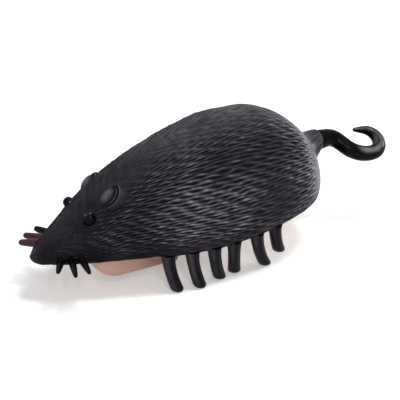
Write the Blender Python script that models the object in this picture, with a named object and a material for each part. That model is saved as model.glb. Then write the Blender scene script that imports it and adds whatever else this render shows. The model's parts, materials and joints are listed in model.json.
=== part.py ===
"""Vibrating toy mouse for a cat: a moulded fur-pattern shell over a flesh-coloured belly pan, two rubber
strips of six swept legs, a rubber tail that turns in its socket, and a small motor with an off-centre weight.

Frame: metres, +Z up, nose towards -Y, tail towards +Y, the toy's left side towards +X. The origin is on the
floor under the middle of the whole length. A station is a distance along the toy from the tip of its nose.
"""

import math

import bmesh
import bpy
from mathutils import Euler, Matrix, Vector

mm = 0.001

# Whole body
BODY_LENGTH = 98.2 * mm
BODY_HALF_WIDTH = 24.0 * mm
BODY_TOP = 47.1 * mm  # highest point of the back above the floor
SHELL_WALL = 1.6 * mm
GAP = 0.3 * mm  # running and seating clearance everywhere

# The shell's form, read at stations along its length. Widths are shares of BODY_HALF_WIDTH, heights are
# shares of BODY_TOP, and the last column is the width at the lower rim as a share of the widest width.
STATION_SHARES = (0.0, 0.02, 0.053, 0.095, 0.159, 0.244, 0.35, 0.456, 0.562, 0.668, 0.774, 0.859, 0.922,
                  0.965, 0.99, 1.0)
WIDTH_SHARES = (0.07, 0.16, 0.256, 0.349, 0.473, 0.623, 0.786, 0.905, 0.98, 1.0, 0.954, 0.85, 0.705,
                0.54, 0.34, 0.15)
TOP_SHARES = (0.345, 0.38, 0.43, 0.493, 0.595, 0.719, 0.815, 0.891, 0.956, 1.0, 0.997, 0.937, 0.845,
              0.747, 0.657, 0.575)
WIDEST_SHARES = (0.312, 0.308, 0.309, 0.318, 0.336, 0.361, 0.39, 0.418, 0.437, 0.45, 0.454, 0.455, 0.458,
                 0.466, 0.478, 0.49)
RIM_SHARES = (0.292, 0.278, 0.275, 0.277, 0.283, 0.291, 0.295, 0.296, 0.296, 0.303, 0.315, 0.325, 0.331,
              0.335, 0.338, 0.343)
RIM_WIDTH_SHARES = (0.6, 0.8, 0.86, 0.91, 0.94, 0.95, 0.95, 0.94, 0.91, 0.87, 0.84, 0.83, 0.84,
                    0.85, 0.85, 0.85)
OUTER_STATIONS = 22
INNER_STATIONS = 13
END_STATIONS = 3  # extra stations in each rounded end
DOME_SEGMENTS = 9  # from the widest line up to the ridge, each side
INNER_DOME_SEGMENTS = 6
TUCK_SEGMENTS = 2  # from the rim up to the widest line, each side
NOSE_SOLID_LENGTH = 5.4 * mm  # the nose tip is solid up to here
STATION_EASE = 1.15  # power that draws stations towards the rounded end
STEEPEST_SLOPE = 2.0  # steepest slope for which the wall is measured square to the surface
SLOPE_STEP_SHARE = 0.005  # step for measuring a slope, of BODY_LENGTH

# Ears, each a leaf with a dished face, moulded with the shell
EAR_STATION = 22.7 * mm
EAR_OUT = 6.8 * mm
EAR_HALF_WIDTH = 3.5 * mm
EAR_HALF_HEIGHT = 4.2 * mm
EAR_HALF_THICKNESS = 1.6 * mm
EAR_RIM = 0.75 * mm
EAR_DISH = 0.9 * mm
EAR_YAW_DEG = 26.0
EAR_TILT_DEG = 44.0
EAR_SIDES = 16
EAR_RINGS = 7

# Eyes, glossy beads pressed into sockets
EYE_RADIUS = 1.5 * mm
EYE_STATION = 16.0 * mm
EYE_OUT = 6.5 * mm
EYE_LIFT = 0.4 * mm  # centre of the bead above the shell's surface
EYE_PAD = 1.2 * mm  # moulded thickening round the socket, inside the shell
BALL_SIDES = 14

# Belly pan: a flange inside the shell's rim, and a tub that hangs below it
FLANGE_THICKNESS = 1.5 * mm
FLANGE_INSET = 0.2 * mm  # how far the flange sits above the rim
FLANGE_STATIONS = 13
PAN_WALL = 1.4 * mm
KEEL_START = 16.4 * mm
KEEL_BOW = 9.5 * mm  # length of the rounded front of the keel
KEEL_HALF_WIDTH = 9.0 * mm
KEEL_BOW_WIDTH_SHARE = 0.8  # width at the front of the bow, of the keel's width
KEEL_BOW_STATIONS = 10
TUB_ROUND = 2.2 * mm  # radius of the tub's lower edges
BAY_HALF_WIDTH = 9.7 * mm
BAY_BOTTOM = 8.0 * mm  # underside of the battery bay above the floor
BAY_FLOOR = 2.4 * mm
BAY_ROUND = 1.6 * mm
BAY_STATIONS = 4
ROUND_SEGMENTS = 4
TERMINAL_SPACE = 2.8 * mm  # between the motor and the cross wall behind it

# Legs, two strips of six
LEG_COUNT = 6
LEG_PITCH = 7.48 * mm
LEG_FIRST_STATION = 37.3 * mm
LEG_RADIUS = 1.95 * mm
LEG_TIP_RADIUS = 2.1 * mm
LEG_FLAT_RADIUS = 0.9 * mm
LEG_END_ROUND = 1.2 * mm
LEG_FLARE = 0.5 * mm  # extra radius where a leg joins its strip
LEG_INSET = 1.9 * mm  # leg centre inside the shell's outer rim
LEG_SHIFT_SHARES = (-0.02, -0.03, -0.06, -0.11, 0.03, 0.03)  # each leg's place off even spacing, of the pitch
LEG_SWEEP_SHARES = (0.26, 0.25, 0.315, 0.23, 0.41, 0.34)  # backward reach of each tip, of its height
LEG_LEAN_SHARES = (0.0, -0.03, -0.25, -0.35, -0.24, -0.26)  # outward reach of each tip, of its height
LEG_LIFT_SHARES = (0.0, 0.0, 0.0, 0.0, 0.0, 0.2)  # tip above the floor, of the strip's height
LEG_BEND = 1.7  # power of the backward sweep: 1 is straight
STRIP_FOOT = 0.6 * mm  # thickness of the strip below the rim
STRIP_INSET = 0.35 * mm  # strip's outer face inside the shell's outer rim
STRIP_WEB = 1.8 * mm
STRIP_TONGUE = 1.4 * mm
STRIP_TONGUE_THICKNESS = 1.2 * mm
STRIP_END = 2.7 * mm  # strip beyond the first and last leg
STRIP_STATIONS = 8
LEG_SIDES = 10
LEG_RINGS = 4
LEG_END_SHARES = (0.55, 0.2, 0.0)  # rings in the rounded foot, of its height above the tip
LEG_FLARE_POWER = 4

# Whiskers, a rubber pad with three blunt spikes on each cheek
WHISKER_STATION = 9.0 * mm
WHISKER_PAD_LENGTH = 8.4 * mm
WHISKER_PAD_DEPTH = 2.7 * mm
WHISKER_PAD_HEIGHT = 2.8 * mm
WHISKER_PAD_PROUD = 0.25 * mm
WHISKER_PAD_FLOOR = 0.25 * mm  # pad's underside above the shell's rim
WHISKER_RISE = 1.7 * mm  # spikes above the shell's rim
WHISKER_SPACING = 2.8 * mm
WHISKER_RADIUS = 1.05 * mm
WHISKER_TIP_RADIUS = 0.7 * mm
WHISKER_LENGTH = 9.6 * mm
LEFT_WHISKER_SHARES = (0.73, 1.0, 0.86)  # length of each spike, of WHISKER_LENGTH
LEFT_WHISKER_FORWARD_DEG = (34.0, 19.0, 11.0)
RIGHT_WHISKER_SHARES = (0.75, 0.88, 0.86)
RIGHT_WHISKER_FORWARD_DEG = (50.0, 36.0, 20.0)
WHISKER_DOWN_DEG = 2.5
WHISKER_SIDES = 7
WHISKER_PAD_STATIONS = 4

# Tail and its boss on the rump
TAIL_HEIGHT_SHARE = 0.645  # height of the tail's axis above the floor, of BODY_TOP
BOSS_RADIUS = 3.5 * mm
BOSS_FOOT_RADIUS = 4.3 * mm  # where the boss grows out of the rump
BOSS_OUTSIDE = 4.0 * mm  # length of the boss behind the body
BOSS_INSIDE = 4.6 * mm  # length of the boss inside the body
BOSS_SIDES = 20
TAIL_ROOT_RADIUS = 3.2 * mm
TAIL_RADIUS = 2.6 * mm
TAIL_TIP_RADIUS = 0.7 * mm
TAIL_LEAD = 2.6 * mm
TAIL_FIRST_RADIUS = 4.8 * mm
TAIL_FIRST_TURN_DEG = 61.0
TAIL_STRAIGHT = 3.2 * mm
TAIL_BACK_RADIUS = 9.2 * mm
TAIL_BACK_TURN_DEG = 57.0
TAIL_HOOK_RADIUS = 4.55 * mm
TAIL_HOOK_TURN_DEG = 206.0
TAIL_STEP = 1.6 * mm  # distance between the rings along the tail
TAIL_PLANE_DEG = 34.0  # the curl's plane dips this far below level on the toy's left
TAIL_SIDES = 12
TAIL_ROOT_SHARE = 0.25  # part of the tail over which its thick root narrows
TAIL_ROOT_POWER = 1.5
TAIL_TAPER_POWER = 3.0
TAIL_END_SHARE = 0.8  # last ring beyond the tip's ring, of the tip's radius
TAIL_END_RADIUS_SHARE = 0.45
PLUG_RADIUS = 2.0 * mm
PLUG_GROOVE_RADIUS = 1.4 * mm
PLUG_HEAD = 1.3 * mm
CLIP_RADIUS = 4.0 * mm
CLIP_THICKNESS = 0.9 * mm
CLIP_MOUTH_SHARE = 0.85  # half width of the clip's mouth, of its bore's radius

# Motor, weight and clamp
MOTOR_START = 28.9 * mm  # front face of the can
MOTOR_LENGTH = 12.0 * mm
MOTOR_RADIUS = 6.0 * mm
MOTOR_HALF_HEIGHT = 5.0 * mm  # to the flats on the top and bottom
MOTOR_WALL = 0.6 * mm
MOTOR_CAP_LENGTH = 1.8 * mm
MOTOR_SIDES = 20
BORE_SIDES = 14  # round a bore or a small turned piece
MAGNET_THICKNESS = 0.8 * mm
MAGNET_SEGMENTS = 6
MAGNET_HALF_ARC_DEG = 38.0
MAGNET_LENGTH = 7.0 * mm
SHAFT_RADIUS = 0.75 * mm
SHAFT_END_SHARE = 0.7  # radius of the shaft's chamfered end, of its radius
BUSH_RADIUS = 1.9 * mm
BUSH_LENGTH = 1.5 * mm
ARMATURE_RADIUS = 3.6 * mm
ARMATURE_LENGTH = 5.4 * mm
ARMATURE_CORE_RADIUS = 1.9 * mm
ARMATURE_POLES = 3
POLE_SEGMENTS = 4
POLE_HALF_SHARE = 0.4  # half width of a pole's face, of the space that each pole has
POLE_SLOPE_SHARE = 0.04  # from the edge of a face down to the core, of the same space
COMMUTATOR_RADIUS = 1.6 * mm
COMMUTATOR_LENGTH = 1.5 * mm
TERMINAL_OUT = 3.0 * mm
TERMINAL_WIDTH = 1.6 * mm
TERMINAL_THICKNESS = 0.4 * mm
TERMINAL_HEIGHT = 2.4 * mm
WEIGHT_RADIUS = 4.1 * mm
WEIGHT_HUB_RADIUS = 1.7 * mm
WEIGHT_LENGTH = 4.2 * mm
WEIGHT_SEGMENTS = 14
WEIGHT_HUB_SEGMENTS = 8
WEIGHT_CLEAR = 1.2 * mm  # between the weight and the motor
CLAMP_THICKNESS = 1.5 * mm
CLAMP_LENGTH = 4.4 * mm
CLAMP_BACK = 0.6 * mm  # behind the front face of the motor
CLAMP_SCREW_OUT = 11.4 * mm
CLAMP_ROUND_SHARE = 0.9  # rounding of the strap's ends, of its half length
SADDLE_THICKNESS = 1.4 * mm
SADDLE_SHARES = (0.175, 0.742)  # places of the two saddles, of the motor's length

# Battery bay: two button cells side by side over a bridge on the door
CELL_RADIUS = 5.8 * mm
CELL_HEIGHT = 5.4 * mm
CELL_CAP_RADIUS = 4.6 * mm
CELL_CAP_HEIGHT = 0.5 * mm
CELL_SPACE = 0.4 * mm
CELL_SIDES = 22
BLOCK_LENGTH = 5.6 * mm  # the block that takes the door and board screws
DOOR_THICKNESS = 1.2 * mm
DOOR_LIP = 1.0 * mm  # ledge that the door's edge lies on
DOOR_FRONT_WALL = 0.8 * mm  # bay floor left in front of the door
DOOR_SCREW_BACK = 2.9 * mm  # screw behind the front of the block
DOOR_ROUND = 1.6 * mm
DOOR_GRIP_COUNT = 4  # grooves across the door for a finger nail
DOOR_GRIP_WIDTH = 0.8 * mm
DOOR_GRIP_DEPTH = 0.4 * mm
DOOR_GRIP_PITCH = 1.7 * mm
CONTACT_THICKNESS = 0.3 * mm
CONTACT_WIDTH = 3.4 * mm
CONTACT_LENGTH = 6.8 * mm  # along the leaf, with the pad before it left out
CONTACT_BEND_SHARES = (-0.5, 0.1, 0.45, 0.9, 1.0)  # pad, slope and toe, of CONTACT_LENGTH
CONTACT_BACK_SHARE = 0.35  # start of the leaf before the middle of its cell, of CONTACT_LENGTH
BOARD_THICKNESS = 1.0 * mm
BOARD_HALF_WIDTH = 7.2 * mm
BOARD_RISE = 2.0 * mm  # underside of the board above the cells
BOARD_SCREW_OUT = 5.2 * mm

# Slide switch behind the block
SWITCH_WIDTH = 8.6 * mm
SWITCH_DEPTH = 3.8 * mm
SWITCH_HEIGHT = 3.6 * mm
SWITCH_PIN = 0.6 * mm
SWITCH_PIN_PITCH = 2.5 * mm
SWITCH_PIN_ROOT_SHARE = 0.7  # height at which the pins are rooted in the case, of its height
SWITCH_TRAVEL = 2.0 * mm
SLIDER_STEM = 1.5 * mm
SLIDER_CAP_WIDTH = 3.0 * mm
SLIDER_CAP_DEPTH = 2.4 * mm
SLIDER_CAP_THICKNESS = 0.9 * mm
SLIDER_PROUD = 0.4 * mm

# Screws
SCREW_RADIUS = 0.95 * mm
SCREW_HEAD_RADIUS = 1.9 * mm
SCREW_HEAD_HEIGHT = 1.1 * mm
HEAD_TOP_SHARE = 0.75  # radius of a pan head's flat top, of the head's radius
HEAD_EDGE_SHARE = 0.6  # height of a pan head's straight edge, of the head's height
SCREW_POINT = 0.8 * mm
SCREW_SINK = 0.2 * mm  # head below the surface it is sunk in
SHELL_SCREW_LENGTH = 7.0 * mm
CLAMP_SCREW_LENGTH = 3.2 * mm
BOARD_SCREW_LENGTH = 4.0 * mm
DOOR_SCREW_LENGTH = 6.6 * mm
COLUMN_WALL = 1.4 * mm
PAN_BOSS_WALL = 0.7 * mm
PAN_BOSS_RISE = 1.4 * mm
SHELL_SCREW_FRONT = 12.6 * mm
SHELL_SCREW_SIDE_STATION = 47.0 * mm
SHELL_SCREW_SIDE_OUT = 12.2 * mm
SHELL_SCREW_BACK_INSET = 9.2 * mm  # rear shell screw before the end of the body
SCREW_SIDES = 9
CROSS_LENGTH_SHARE = 0.62  # half length of the cross recess, of the head radius
CROSS_WIDTH_SHARE = 0.17  # half width of the cross recess, of the head radius
CROSS_DEPTH_SHARE = 0.6  # depth of the cross recess, of the head height

# Wires from the board to the motor
WIRE_RADIUS = 0.55 * mm
WIRE_ON_BOARD = 3.0 * mm

CUT = 4.0 * mm  # how far every cutter runs past what it cuts

COLOURS = {
    "shell_black": ((0.052, 0.050, 0.056), 0.5, 0.0),
    "rubber_black": ((0.030, 0.028, 0.030), 0.45, 0.0),
    "tail_black": ((0.010, 0.010, 0.011), 0.22, 0.0),
    "bead_black": ((0.006, 0.006, 0.008), 0.1, 0.0),
    "flesh_plastic": ((0.46, 0.28, 0.21), 0.45, 0.0),
    "steel": ((0.55, 0.55, 0.56), 0.3, 1.0),
    "brass": ((0.70, 0.50, 0.22), 0.3, 1.0),
    "copper": ((0.75, 0.38, 0.22), 0.4, 1.0),
    "magnet_grey": ((0.09, 0.09, 0.095), 0.6, 0.0),
    "white_plastic": ((0.72, 0.71, 0.68), 0.45, 0.0),
    "black_plastic": ((0.03, 0.03, 0.03), 0.45, 0.0),
    "board_green": ((0.06, 0.22, 0.10), 0.5, 0.0),
    "wire_red": ((0.55, 0.03, 0.02), 0.4, 0.0),
    "wire_black": ((0.02, 0.02, 0.02), 0.4, 0.0),
}


# General shapes

def material(name):
    found = bpy.data.materials.get(name)
    if found:
        return found
    colour, roughness, metallic = COLOURS[name]
    found = bpy.data.materials.new(name)
    found.use_nodes = True
    shader = found.node_tree.nodes["Principled BSDF"]
    shader.inputs["Base Color"].default_value = (*colour, 1.0)
    shader.inputs["Roughness"].default_value = roughness
    shader.inputs["Metallic"].default_value = metallic
    return found


def solid(name, points, faces):
    """A new mesh object from points and faces, with its faces turned outwards."""
    mesh = bpy.data.meshes.new(name)
    mesh.from_pydata([tuple(point) for point in points], [], faces)
    shape = bmesh.new()
    shape.from_mesh(mesh)
    bmesh.ops.recalc_face_normals(shape, faces=shape.faces)
    shape.to_mesh(mesh)
    shape.free()
    made = bpy.data.objects.new(name, mesh)
    bpy.context.scene.collection.objects.link(made)
    return made


def loft(name, rings):
    """A closed body through rings of equally many points, with its two ends filled."""
    count = len(rings[0])
    points = [point for ring in rings for point in ring]
    faces = [list(range(count)), [len(points) - count + at for at in range(count)]]
    for row in range(len(rings) - 1):
        for at in range(count):
            first = row * count + at
            second = row * count + (at + 1) % count
            faces.append([first, second, second + count, first + count])
    return solid(name, points, faces)


def box(name, low, high):
    rings = []
    for y in (low[1], high[1]):
        rings.append([(low[0], y, low[2]), (high[0], y, low[2]), (high[0], y, high[2]), (low[0], y, high[2])])
    return loft(name, rings)


def turned(name, profile, sides, axis="Z"):
    """A body turned about an axis through zero, from pairs of a radius and a place along the axis."""
    rings = []
    for radius, along in profile:
        ring = []
        for at in range(sides):
            turn = math.tau * at / sides
            across = (radius * math.cos(turn), radius * math.sin(turn))
            ring.append((*across, along) if axis == "Z" else (across[0], along, across[1]))
        rings.append(ring)
    return loft(name, rings)


def post(radius, low, high, out, station, sides=2 * SCREW_SIDES):
    """An upright round bar, for a boss or for the hole in one."""
    return place(turned("post", [(radius, low), (radius, high)], sides), (out, station, 0.0))


def bore(name, radius, front, back, height):
    """A round bar along the toy at a height above the floor, for the bores of turning pieces."""
    return place(turned(name, [(radius, front), (radius, back)], BORE_SIDES, "Y"), (0.0, 0.0, height))


def rounded_plate(name, low, high, radius):
    """A flat plate between two corners, with its four upright edges rounded."""
    outline = []
    corners = ((high[0], high[1], 0), (low[0], high[1], 1), (low[0], low[1], 2), (high[0], low[1], 3))
    for x, y, quarter in corners:
        centre_x = x - radius if x == high[0] else x + radius
        centre_y = y - radius if y == high[1] else y + radius
        for step in range(ROUND_SEGMENTS + 1):
            turn = math.pi / 2 * (quarter + step / ROUND_SEGMENTS)
            outline.append((centre_x + radius * math.cos(turn), centre_y + radius * math.sin(turn)))
    return loft(name, [[(x, y, z) for x, y in outline] for z in (low[2], high[2])])


def place(made, location, rotation=None):
    """Moves a body's own points, so that later cuts use them where they lie."""
    turn = rotation.to_matrix().to_4x4() if rotation else Matrix.Identity(4)
    made.data.transform(Matrix.Translation(Vector(location)) @ turn)
    return made


def combine(body, operation, *tools):
    """Applies one Boolean for each tool to the body, and removes the tools."""
    for tool in tools:
        step = body.modifiers.new(operation, "BOOLEAN")
        step.operation = operation
        step.object = tool
        graph = bpy.context.evaluated_depsgraph_get()
        result = bpy.data.meshes.new_from_object(body.evaluated_get(graph))
        body.modifiers.clear()
        used = body.data
        body.data = result
        bpy.data.meshes.remove(used)
        bpy.data.meshes.remove(tool.data)
    return body


def mirrored(made):
    """A copy of a shape on the toy's other side."""
    other = made.copy()
    other.data = made.data.copy()
    bpy.context.scene.collection.objects.link(other)
    other.data.transform(Matrix.Scale(-1.0, 4, Vector((1.0, 0.0, 0.0))))
    other.data.flip_normals()
    return other


def between(low, high, count):
    return [low + (high - low) * at / count for at in range(count + 1)]


# The shell's form

def slope_at(shares, index):
    """Slope of a column at one station: the harmonic mean of both sides, or zero at a peak."""
    last = len(STATION_SHARES) - 1

    def rise(at):
        return (shares[at + 1] - shares[at]) / (STATION_SHARES[at + 1] - STATION_SHARES[at])

    if index == 0:
        return rise(0)
    if index == last:
        return rise(last - 1)
    before, after = rise(index - 1), rise(index)
    if before * after <= 0.0:
        return 0.0
    return 2.0 * before * after / (before + after)


def blended(shares, share):
    """A column's value at a share of the length, on a smooth curve that never overshoots its points."""
    last = len(STATION_SHARES) - 2
    row = max(at for at in range(last + 1) if at == 0 or STATION_SHARES[at] <= share)
    width = STATION_SHARES[row + 1] - STATION_SHARES[row]
    part = (share - STATION_SHARES[row]) / width
    start, end = shares[row], shares[row + 1]
    leave, arrive = slope_at(shares, row) * width, slope_at(shares, row + 1) * width
    squared, cubed = part ** 2, part ** 3
    return (start * (2 * cubed - 3 * squared + 1) + leave * (cubed - 2 * squared + part)
            + end * (3 * squared - 2 * cubed) + arrive * (cubed - squared))


def half_width(station):
    return BODY_HALF_WIDTH * blended(WIDTH_SHARES, station / BODY_LENGTH)


def top(station):
    return BODY_TOP * blended(TOP_SHARES, station / BODY_LENGTH)


def widest_height(station):
    return BODY_TOP * blended(WIDEST_SHARES, station / BODY_LENGTH)


def rim(station):
    return BODY_TOP * blended(RIM_SHARES, station / BODY_LENGTH)


def rim_share(station):
    return blended(RIM_WIDTH_SHARES, station / BODY_LENGTH)


def wall_at(size, station):
    """The wall measured across a size that slopes here, so that it stays as thick square to the surface."""
    step = BODY_LENGTH * SLOPE_STEP_SHARE
    low = max(station - step, 0.0)
    high = min(station + step, BODY_LENGTH)
    slope = (size(high) - size(low)) / (high - low)
    return SHELL_WALL * math.sqrt(1.0 + min(abs(slope), STEEPEST_SLOPE) ** 2)


def inner_half_width(station):
    return half_width(station) - wall_at(half_width, station)


def rim_out(station):
    return half_width(station) * rim_share(station)


def inner_rim_out(station):
    return inner_half_width(station) * rim_share(station)


def flange_under(station):
    return rim(station) + FLANGE_INSET


def flange_top(station):
    return flange_under(station) + FLANGE_THICKNESS


def arch(width, crown, station, dome_segments):
    """Points of half a cross section, from the rim on the left side up to the ridge."""
    tuck = math.acos(rim_share(station))
    middle = widest_height(station)
    points = []
    for angle in between(-tuck, 0.0, TUCK_SEGMENTS)[:-1]:
        drop = (middle - rim(station)) * math.sin(angle) / math.sin(tuck)
        points.append((width * math.cos(angle), middle + drop))
    for angle in between(0.0, math.pi / 2, dome_segments):
        points.append((width * math.cos(angle), middle + (crown - middle) * math.sin(angle)))
    return points


def section(width, crown, station, dome_segments, below=None):
    """A whole cross section as a closed ring; below carries it straight down from the rim."""
    half = arch(width, crown, station, dome_segments)
    if below is not None:
        half = [(half[0][0], below)] + half
    ring = [(x, station, z) for x, z in half]
    return ring + [(-x, station, z) for x, z in reversed(half[:-1])]


def eased_stations(low, high, count):
    """Stations that lie closer together towards the high end, where the form rounds off."""
    turns = between(0.0, math.pi / 2, count)
    return [low + (high - low) * math.sin(turn) ** STATION_EASE for turn in turns]


def surface_height(out, station):
    """Height of the shell's surface above a point at this distance from the middle."""
    share = min(abs(out) / half_width(station), 1.0)
    middle = widest_height(station)
    return middle + (top(station) - middle) * math.sqrt(1.0 - share ** 2)


def surface_normal(out, station):
    step = BODY_LENGTH * SLOPE_STEP_SHARE
    along_x = (surface_height(out + step, station) - surface_height(out - step, station)) / (2 * step)
    along_y = (surface_height(out, station + step) - surface_height(out, station - step)) / (2 * step)
    return Vector((-along_x, -along_y, 1.0)).normalized()


# Places worked out from the sizes above

CLAMP_STATION = MOTOR_START + CLAMP_BACK + CLAMP_LENGTH / 2
CLAMP_BOTTOM = flange_top(CLAMP_STATION) + PAN_BOSS_RISE
MOTOR_Z = CLAMP_BOTTOM - GAP - MOTOR_HALF_HEIGHT
KEEL_BOTTOM = MOTOR_Z - MOTOR_HALF_HEIGHT - GAP - PAN_WALL
TAIL_Z = BODY_TOP * TAIL_HEIGHT_SHARE
BOSS_START = BODY_LENGTH - BOSS_INSIDE
BOSS_END = BODY_LENGTH + BOSS_OUTSIDE
MOTOR_END = MOTOR_START + MOTOR_LENGTH
CROSS_START = MOTOR_END + TERMINAL_SPACE
CROSS_END = CROSS_START + PAN_WALL
DOOR_START = CROSS_END + DOOR_FRONT_WALL + GAP
CELLS_START = DOOR_START + DOOR_LIP + 2 * GAP
CELL_STATIONS = (CELLS_START + CELL_RADIUS, CELLS_START + 3 * CELL_RADIUS + CELL_SPACE)
CELLS_END = CELLS_START + 4 * CELL_RADIUS + CELL_SPACE
BLOCK_START = CELLS_END + GAP
BLOCK_END = BLOCK_START + BLOCK_LENGTH
DOOR_END = BLOCK_END - 2 * GAP
DOOR_SCREW_STATION = BLOCK_START + DOOR_SCREW_BACK
SWITCH_START = BLOCK_END + GAP
SWITCH_STATION = SWITCH_START + SWITCH_DEPTH / 2
BAY_INNER_END = SWITCH_START + SWITCH_DEPTH + GAP
BAY_END = BAY_INNER_END + PAN_WALL
FLOOR_TOP = BAY_BOTTOM + BAY_FLOOR
DOOR_TOP = BAY_BOTTOM + DOOR_THICKNESS
BRIDGE_BOTTOM = DOOR_TOP + GAP
CELL_BOTTOM = BRIDGE_BOTTOM + CONTACT_THICKNESS + GAP
CELL_TOP = CELL_BOTTOM + CELL_HEIGHT
BOARD_BOTTOM = CELL_TOP + BOARD_RISE
BOARD_TOP = BOARD_BOTTOM + BOARD_THICKNESS
SWITCH_BOTTOM = FLOOR_TOP + GAP
DOOR_DROP = DOOR_SCREW_LENGTH + GAP  # the door is off once its screw is clear of the block
SHELL_SCREWS = {
    "front": (0.0, SHELL_SCREW_FRONT),
    "left": (SHELL_SCREW_SIDE_OUT, SHELL_SCREW_SIDE_STATION),
    "right": (-SHELL_SCREW_SIDE_OUT, SHELL_SCREW_SIDE_STATION),
    "rear": (0.0, BODY_LENGTH - SHELL_SCREW_BACK_INSET),
}


# Upper shell

def column(out, station):
    """A screw column that stands from the pan's boss up into the shell's roof."""
    foot = flange_top(station) + PAN_BOSS_RISE + GAP
    radius = SCREW_RADIUS + GAP + COLUMN_WALL
    made = turned("column", [(radius, foot), (radius, BODY_TOP + CUT)], 2 * SCREW_SIDES)
    return place(made, (out, station, 0.0))


def ear(side):
    """A leaf that stands out of the head, with a dish in the face that looks forward."""
    turns = between(-math.pi / 2, math.pi / 2, EAR_RINGS)
    profile = [(math.cos(turn), math.sin(turn)) for turn in turns[1:-1]]
    leaf = turned("ear", profile, EAR_SIDES)
    leaf.data.transform(Matrix.Diagonal((EAR_HALF_WIDTH, EAR_HALF_HEIGHT, EAR_HALF_THICKNESS, 1.0)))
    dish = turned("dish", profile, EAR_SIDES)
    dish.data.transform(Matrix.Diagonal((EAR_HALF_WIDTH - EAR_RIM, EAR_HALF_HEIGHT - EAR_RIM, EAR_DISH, 1.0)))
    place(dish, (0.0, -EAR_RIM / 3, EAR_HALF_THICKNESS))
    combine(leaf, "DIFFERENCE", dish)
    tilt = Euler((math.radians(90.0 - EAR_TILT_DEG), 0.0, side * math.radians(EAR_YAW_DEG)), "XYZ")
    out = side * EAR_OUT
    return place(leaf, (out, EAR_STATION, surface_height(out, EAR_STATION)), tilt)


def eye_centre(side):
    out = side * EYE_OUT
    surface = Vector((out, EYE_STATION, surface_height(out, EYE_STATION)))
    return surface + surface_normal(out, EYE_STATION) * EYE_LIFT


def ball(name, radius, centre):
    turns = between(-math.pi / 2, math.pi / 2, BALL_SIDES // 2)[1:-1]
    made = turned(name, [(radius * math.cos(turn), radius * math.sin(turn)) for turn in turns], BALL_SIDES)
    return place(made, centre)


def tail_boss():
    """The socket on the rump: a straight sleeve inside, and a cone outside that narrows to the tail."""
    profile = [(BOSS_FOOT_RADIUS, BOSS_START), (BOSS_FOOT_RADIUS, BODY_LENGTH - SHELL_WALL),
               (BOSS_RADIUS, BODY_LENGTH + SHELL_WALL), (BOSS_RADIUS, BOSS_END)]
    return place(turned("boss", profile, BOSS_SIDES, "Y"), (0.0, 0.0, TAIL_Z))


def hollow():
    """The space inside the shell, with its screw columns, tail boss and eye pads left out of it."""
    back = BODY_LENGTH - SHELL_WALL
    rings = []
    for station in eased_stations(NOSE_SOLID_LENGTH, back, INNER_STATIONS):
        crown = top(station) - wall_at(top, station)
        below = rim(station) - CUT
        rings.append(section(inner_half_width(station), crown, station, INNER_DOME_SEGMENTS, below))
    space = loft("hollow", rings)
    for out, station in SHELL_SCREWS.values():
        combine(space, "DIFFERENCE", column(out, station))
    combine(space, "DIFFERENCE", tail_boss())
    clip_end = BOSS_START - GAP
    room = bore("clip_room", CLIP_RADIUS + GAP, clip_end - CLIP_THICKNESS - 2 * GAP, clip_end, TAIL_Z)
    combine(space, "UNION", room)
    for side in (1, -1):
        combine(space, "DIFFERENCE", ball("eye_pad", EYE_RADIUS + GAP + EYE_PAD, eye_centre(side)))
    return space


def cheek_pad(grow, proud):
    """The left cheek's whisker pad, which follows the shell; grown by a clearance it is its own notch."""
    low = WHISKER_STATION - WHISKER_PAD_LENGTH / 2 - grow
    high = WHISKER_STATION + WHISKER_PAD_LENGTH / 2 + grow
    rings = []
    for station in between(low, high, WHISKER_PAD_STATIONS):
        inner = half_width(station) - WHISKER_PAD_DEPTH - grow
        outer = half_width(station) + proud
        floor = rim(station) + WHISKER_PAD_FLOOR - (CUT if grow else 0.0)
        roof = rim(station) + WHISKER_PAD_FLOOR + WHISKER_PAD_HEIGHT + grow
        rings.append([(inner, station, floor), (outer, station, floor), (outer, station, roof),
                      (inner, station, roof)])
    return loft("pad", rings)


def upper_shell():
    back = BODY_LENGTH - SHELL_WALL
    stations = between(0.0, NOSE_SOLID_LENGTH, END_STATIONS)[:-1]
    stations += eased_stations(NOSE_SOLID_LENGTH, back, OUTER_STATIONS)
    stations += between(back, BODY_LENGTH, END_STATIONS)[1:]
    rings = [section(half_width(at), top(at), at, DOME_SEGMENTS) for at in stations]
    shell = loft("upper_shell", rings)
    combine(shell, "UNION", tail_boss(), ear(1), ear(-1))
    combine(shell, "DIFFERENCE", hollow())
    combine(shell, "DIFFERENCE", bore("bore", PLUG_RADIUS + GAP, BOSS_START - CUT, BOSS_END + CUT, TAIL_Z))
    for side in (1, -1):
        combine(shell, "DIFFERENCE", ball("socket", EYE_RADIUS + GAP, eye_centre(side)))
    notch = cheek_pad(GAP, CUT)
    combine(shell, "DIFFERENCE", mirrored(notch), notch)
    for out, station in SHELL_SCREWS.values():
        head_seat = flange_under(station) + FLANGE_THICKNESS
        depth = head_seat + SHELL_SCREW_LENGTH + GAP
        pilot = post(SCREW_RADIUS + GAP, rim(station), depth, out, station, SCREW_SIDES)
        combine(shell, "DIFFERENCE", pilot)
    return shell


# Belly pan

def tub_ring(station, out, bottom, radius, roof):
    """A cross section of the tub: straight sides, a flat bottom and rounded lower edges."""
    half = [(out, roof)]
    for step in range(ROUND_SEGMENTS + 1):
        turn = math.pi / 2 * step / ROUND_SEGMENTS
        half.append((out - radius + radius * math.cos(turn), bottom + radius - radius * math.sin(turn)))
    ring = [(x, station, z) for x, z in half]
    return ring + [(-x, station, z) for x, z in reversed(half)]


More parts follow.
